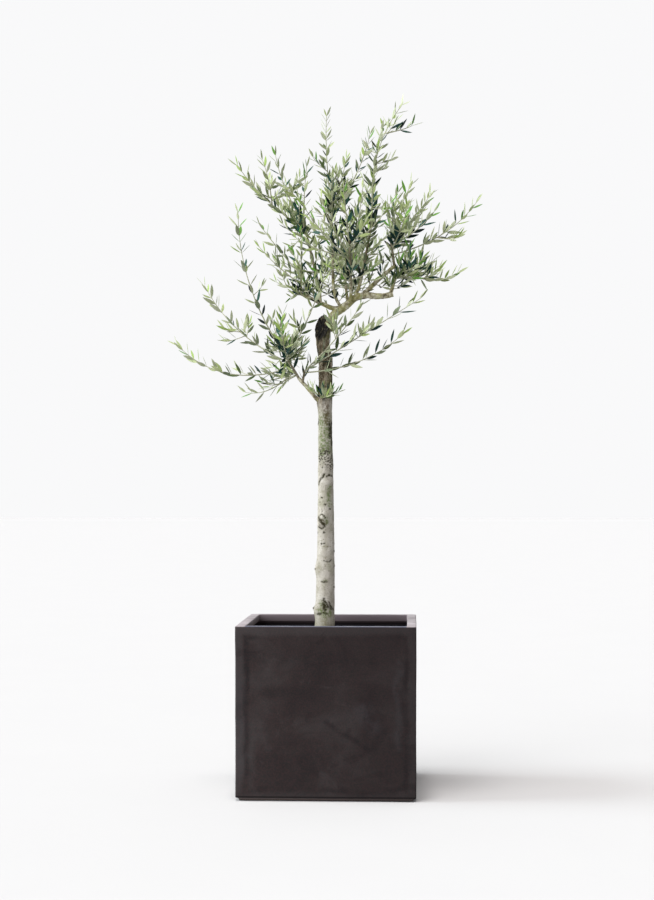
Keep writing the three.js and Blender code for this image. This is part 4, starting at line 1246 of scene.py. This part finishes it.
def twigs(shoots):
    wood = twig_material("twig_wood", (0.17, 0.14, 0.085), (0.36, 0.32, 0.23))
    green = twig_material("twig_green", (0.36, 0.37, 0.23), (0.58, 0.58, 0.43))
    kinds = (("stem", wood, 8, 10), ("long", green, 6, 12), ("side", green, 5, 5))
    for kind, material, sides, steps in kinds:
        chosen = [shoot for shoot in shoots if shoot["kind"] == kind]
        place(twig_piece("twigs_" + kind, chosen, material, sides, steps), "foliage")


def leaf_materials(*rows):
    return [leaf_material(*row) for row in rows]


def leaves_by_age(leaves):
    """Old leaves inside the crown, painted near black: their own dark green deepened by painted shade. Olive
    and silver ones outside them, and fresh ones at the tips.
    """
    # Painted shade: the old leaves' upper sides are near black, darker than their own green, for the shade
    # inside the crown.
    old = leaf_materials(("leaf_black_green", (0.003, 0.013, 0.010), 0.50),
                         ("leaf_blue_green", (0.010, 0.040, 0.033), 0.50),
                         ("leaf_olive", (0.078, 0.115, 0.040), 0.50))
    grey = leaf_materials(("leaf_blue_grey", (0.030, 0.090, 0.066), 0.45),
                          ("leaf_olive_light", (0.300, 0.360, 0.150), 0.45),
                          ("leaf_silver", (0.460, 0.520, 0.295), 0.50))
    fresh = leaf_materials(("leaf_green", (0.140, 0.320, 0.050), 0.45),
                           ("leaf_spring", (0.360, 0.500, 0.140), 0.45),
                           ("leaf_pale", (0.440, 0.520, 0.240), 0.50))
    under_old = leaf_materials(("under_shade", (0.240, 0.290, 0.175), 0.7),
                               ("under_olive", (0.510, 0.555, 0.355), 0.7),
                               ("under_silver", (0.590, 0.630, 0.450), 0.7))
    under_fresh = leaf_materials(("under_pale", (0.490, 0.560, 0.310), 0.65),
                                 ("under_cream", (0.540, 0.590, 0.395), 0.65))
    groups = {"leaves_old": [], "leaves_grey": [], "leaves_fresh": []}
    for leaf in leaves:
        age = leaf["age"] + AGE_SPREAD * (leaf["tone"] - 0.5)
        key = "leaves_old" if age < GREY_FROM else "leaves_grey" if age < FRESH_FROM else "leaves_fresh"
        groups[key].append(leaf)
    colours = ((old, under_old), (grey, under_old[1:] + under_fresh[:1]), (fresh, under_fresh))
    return [(name, chosen, *pair) for (name, chosen), pair in zip(groups.items(), colours)]


def crown():
    limbs = Limbs()
    masses = [grow_shoots(mass) for mass in MASSES.values()]
    spaces = Spaces(masses)
    for index, grown in enumerate(masses):
        grow_side_shoots(index, grown, limbs, spaces)
    shoots, leaves = [], []
    for grown in masses:
        for shoot in grown["shoots"]:
            shoots.append(shoot)
            leaves += grow_leaves(grown, shoot, limbs)
    twigs(shoots)
    nodes = list(MASSES)
    for name, chosen, tops, unders in leaves_by_age(leaves):
        place(leaf_piece(name, chosen, tops, unders), "foliage", *nodes)
        nodes = []


# Floor, light and camera.

STUDIO_WHITE = (0.948, 0.948, 0.955)
DIM_OVERHEAD = 0.36
DIM_RIGHT = 0.34
DIM_FRONT = 0.52


def floor():
    """A plain pale floor. It gives no light back to the tree, which keeps the crown's shadows deep."""
    f = Finish("floor_paint", 0.9, 0.0)
    f.colour(f.noise(3.0, 2.0).ramp((0.3, (0.640, 0.640, 0.644)), (0.7, (0.645, 0.645, 0.649))))
    corners = [(-40, -40, -0.0002), (40, -40, -0.0002), (40, 40, -0.0002), (-40, 40, -0.0002)]
    piece = mesh_object("floor", corners, [(0, 1, 2, 3)], [f.material], smooth=False)
    piece.visible_diffuse = False


def aim(piece, towards):
    piece.rotation_mode = "QUATERNION"
    piece.rotation_quaternion = Vector(towards).to_track_quat("-Z", "Y")


def sun(name, towards, strength, angle, colour):
    data = bpy.data.lights.new(name, "SUN")
    data.energy = strength
    data.angle = math.radians(angle)
    data.color = colour
    aim(add_object(name, data), towards)


def studio():
    """White all round at eye height, behind and on the left; dimmer overhead, in front and on the right."""
    world = bpy.data.worlds.new("studio")
    world.use_nodes = True
    tree = world.node_tree
    right, back, up = place_fields(tree, "Generated")
    strength = up.level(0.32, 0.58, 1.0, DIM_OVERHEAD) * right.level(0.28, 0.65, 1.0, DIM_RIGHT)
    strength = strength * back.level(-0.15, -0.60, 1.0, DIM_FRONT)
    strength = strength.most(up.band((-0.10, -0.02), (0.20, 0.32)))
    background = tree.nodes["Background"]
    feed(tree, strength, background.inputs["Strength"])
    feed(tree, STUDIO_WHITE, background.inputs["Color"])
    bpy.context.scene.world = world


def lighting():
    studio()
    sun("left", (1.0, 0.05, -0.55), 2.05, 30, (0.88, 0.97, 1.0))
    sun("front", (0.60, 0.75, -0.45), 1.5, 50, (1.0, 1.0, 1.0))
    sun("top", (0.03, 0.10, -1.0), 2.1, 14, (1.0, 0.95, 0.93))
    bpy.context.scene.view_settings.view_transform = "Standard"


def camera():
    data = bpy.data.cameras.new("camera")
    data.lens = CAMERA_LENS
    data.sensor_width = CAMERA_SENSOR
    piece = add_object("camera", data)
    piece.location = CAMERA_PLACE
    level = math.cos(CAMERA_PITCH)
    aim(piece, (-math.sin(CAMERA_YAW) * level, math.cos(CAMERA_YAW) * level, math.sin(CAMERA_PITCH)))
    bpy.context.scene.camera = piece


camera()
lighting()
floor()
planter()
soil()
soil_chips()
trunk()
boughs()
crown()
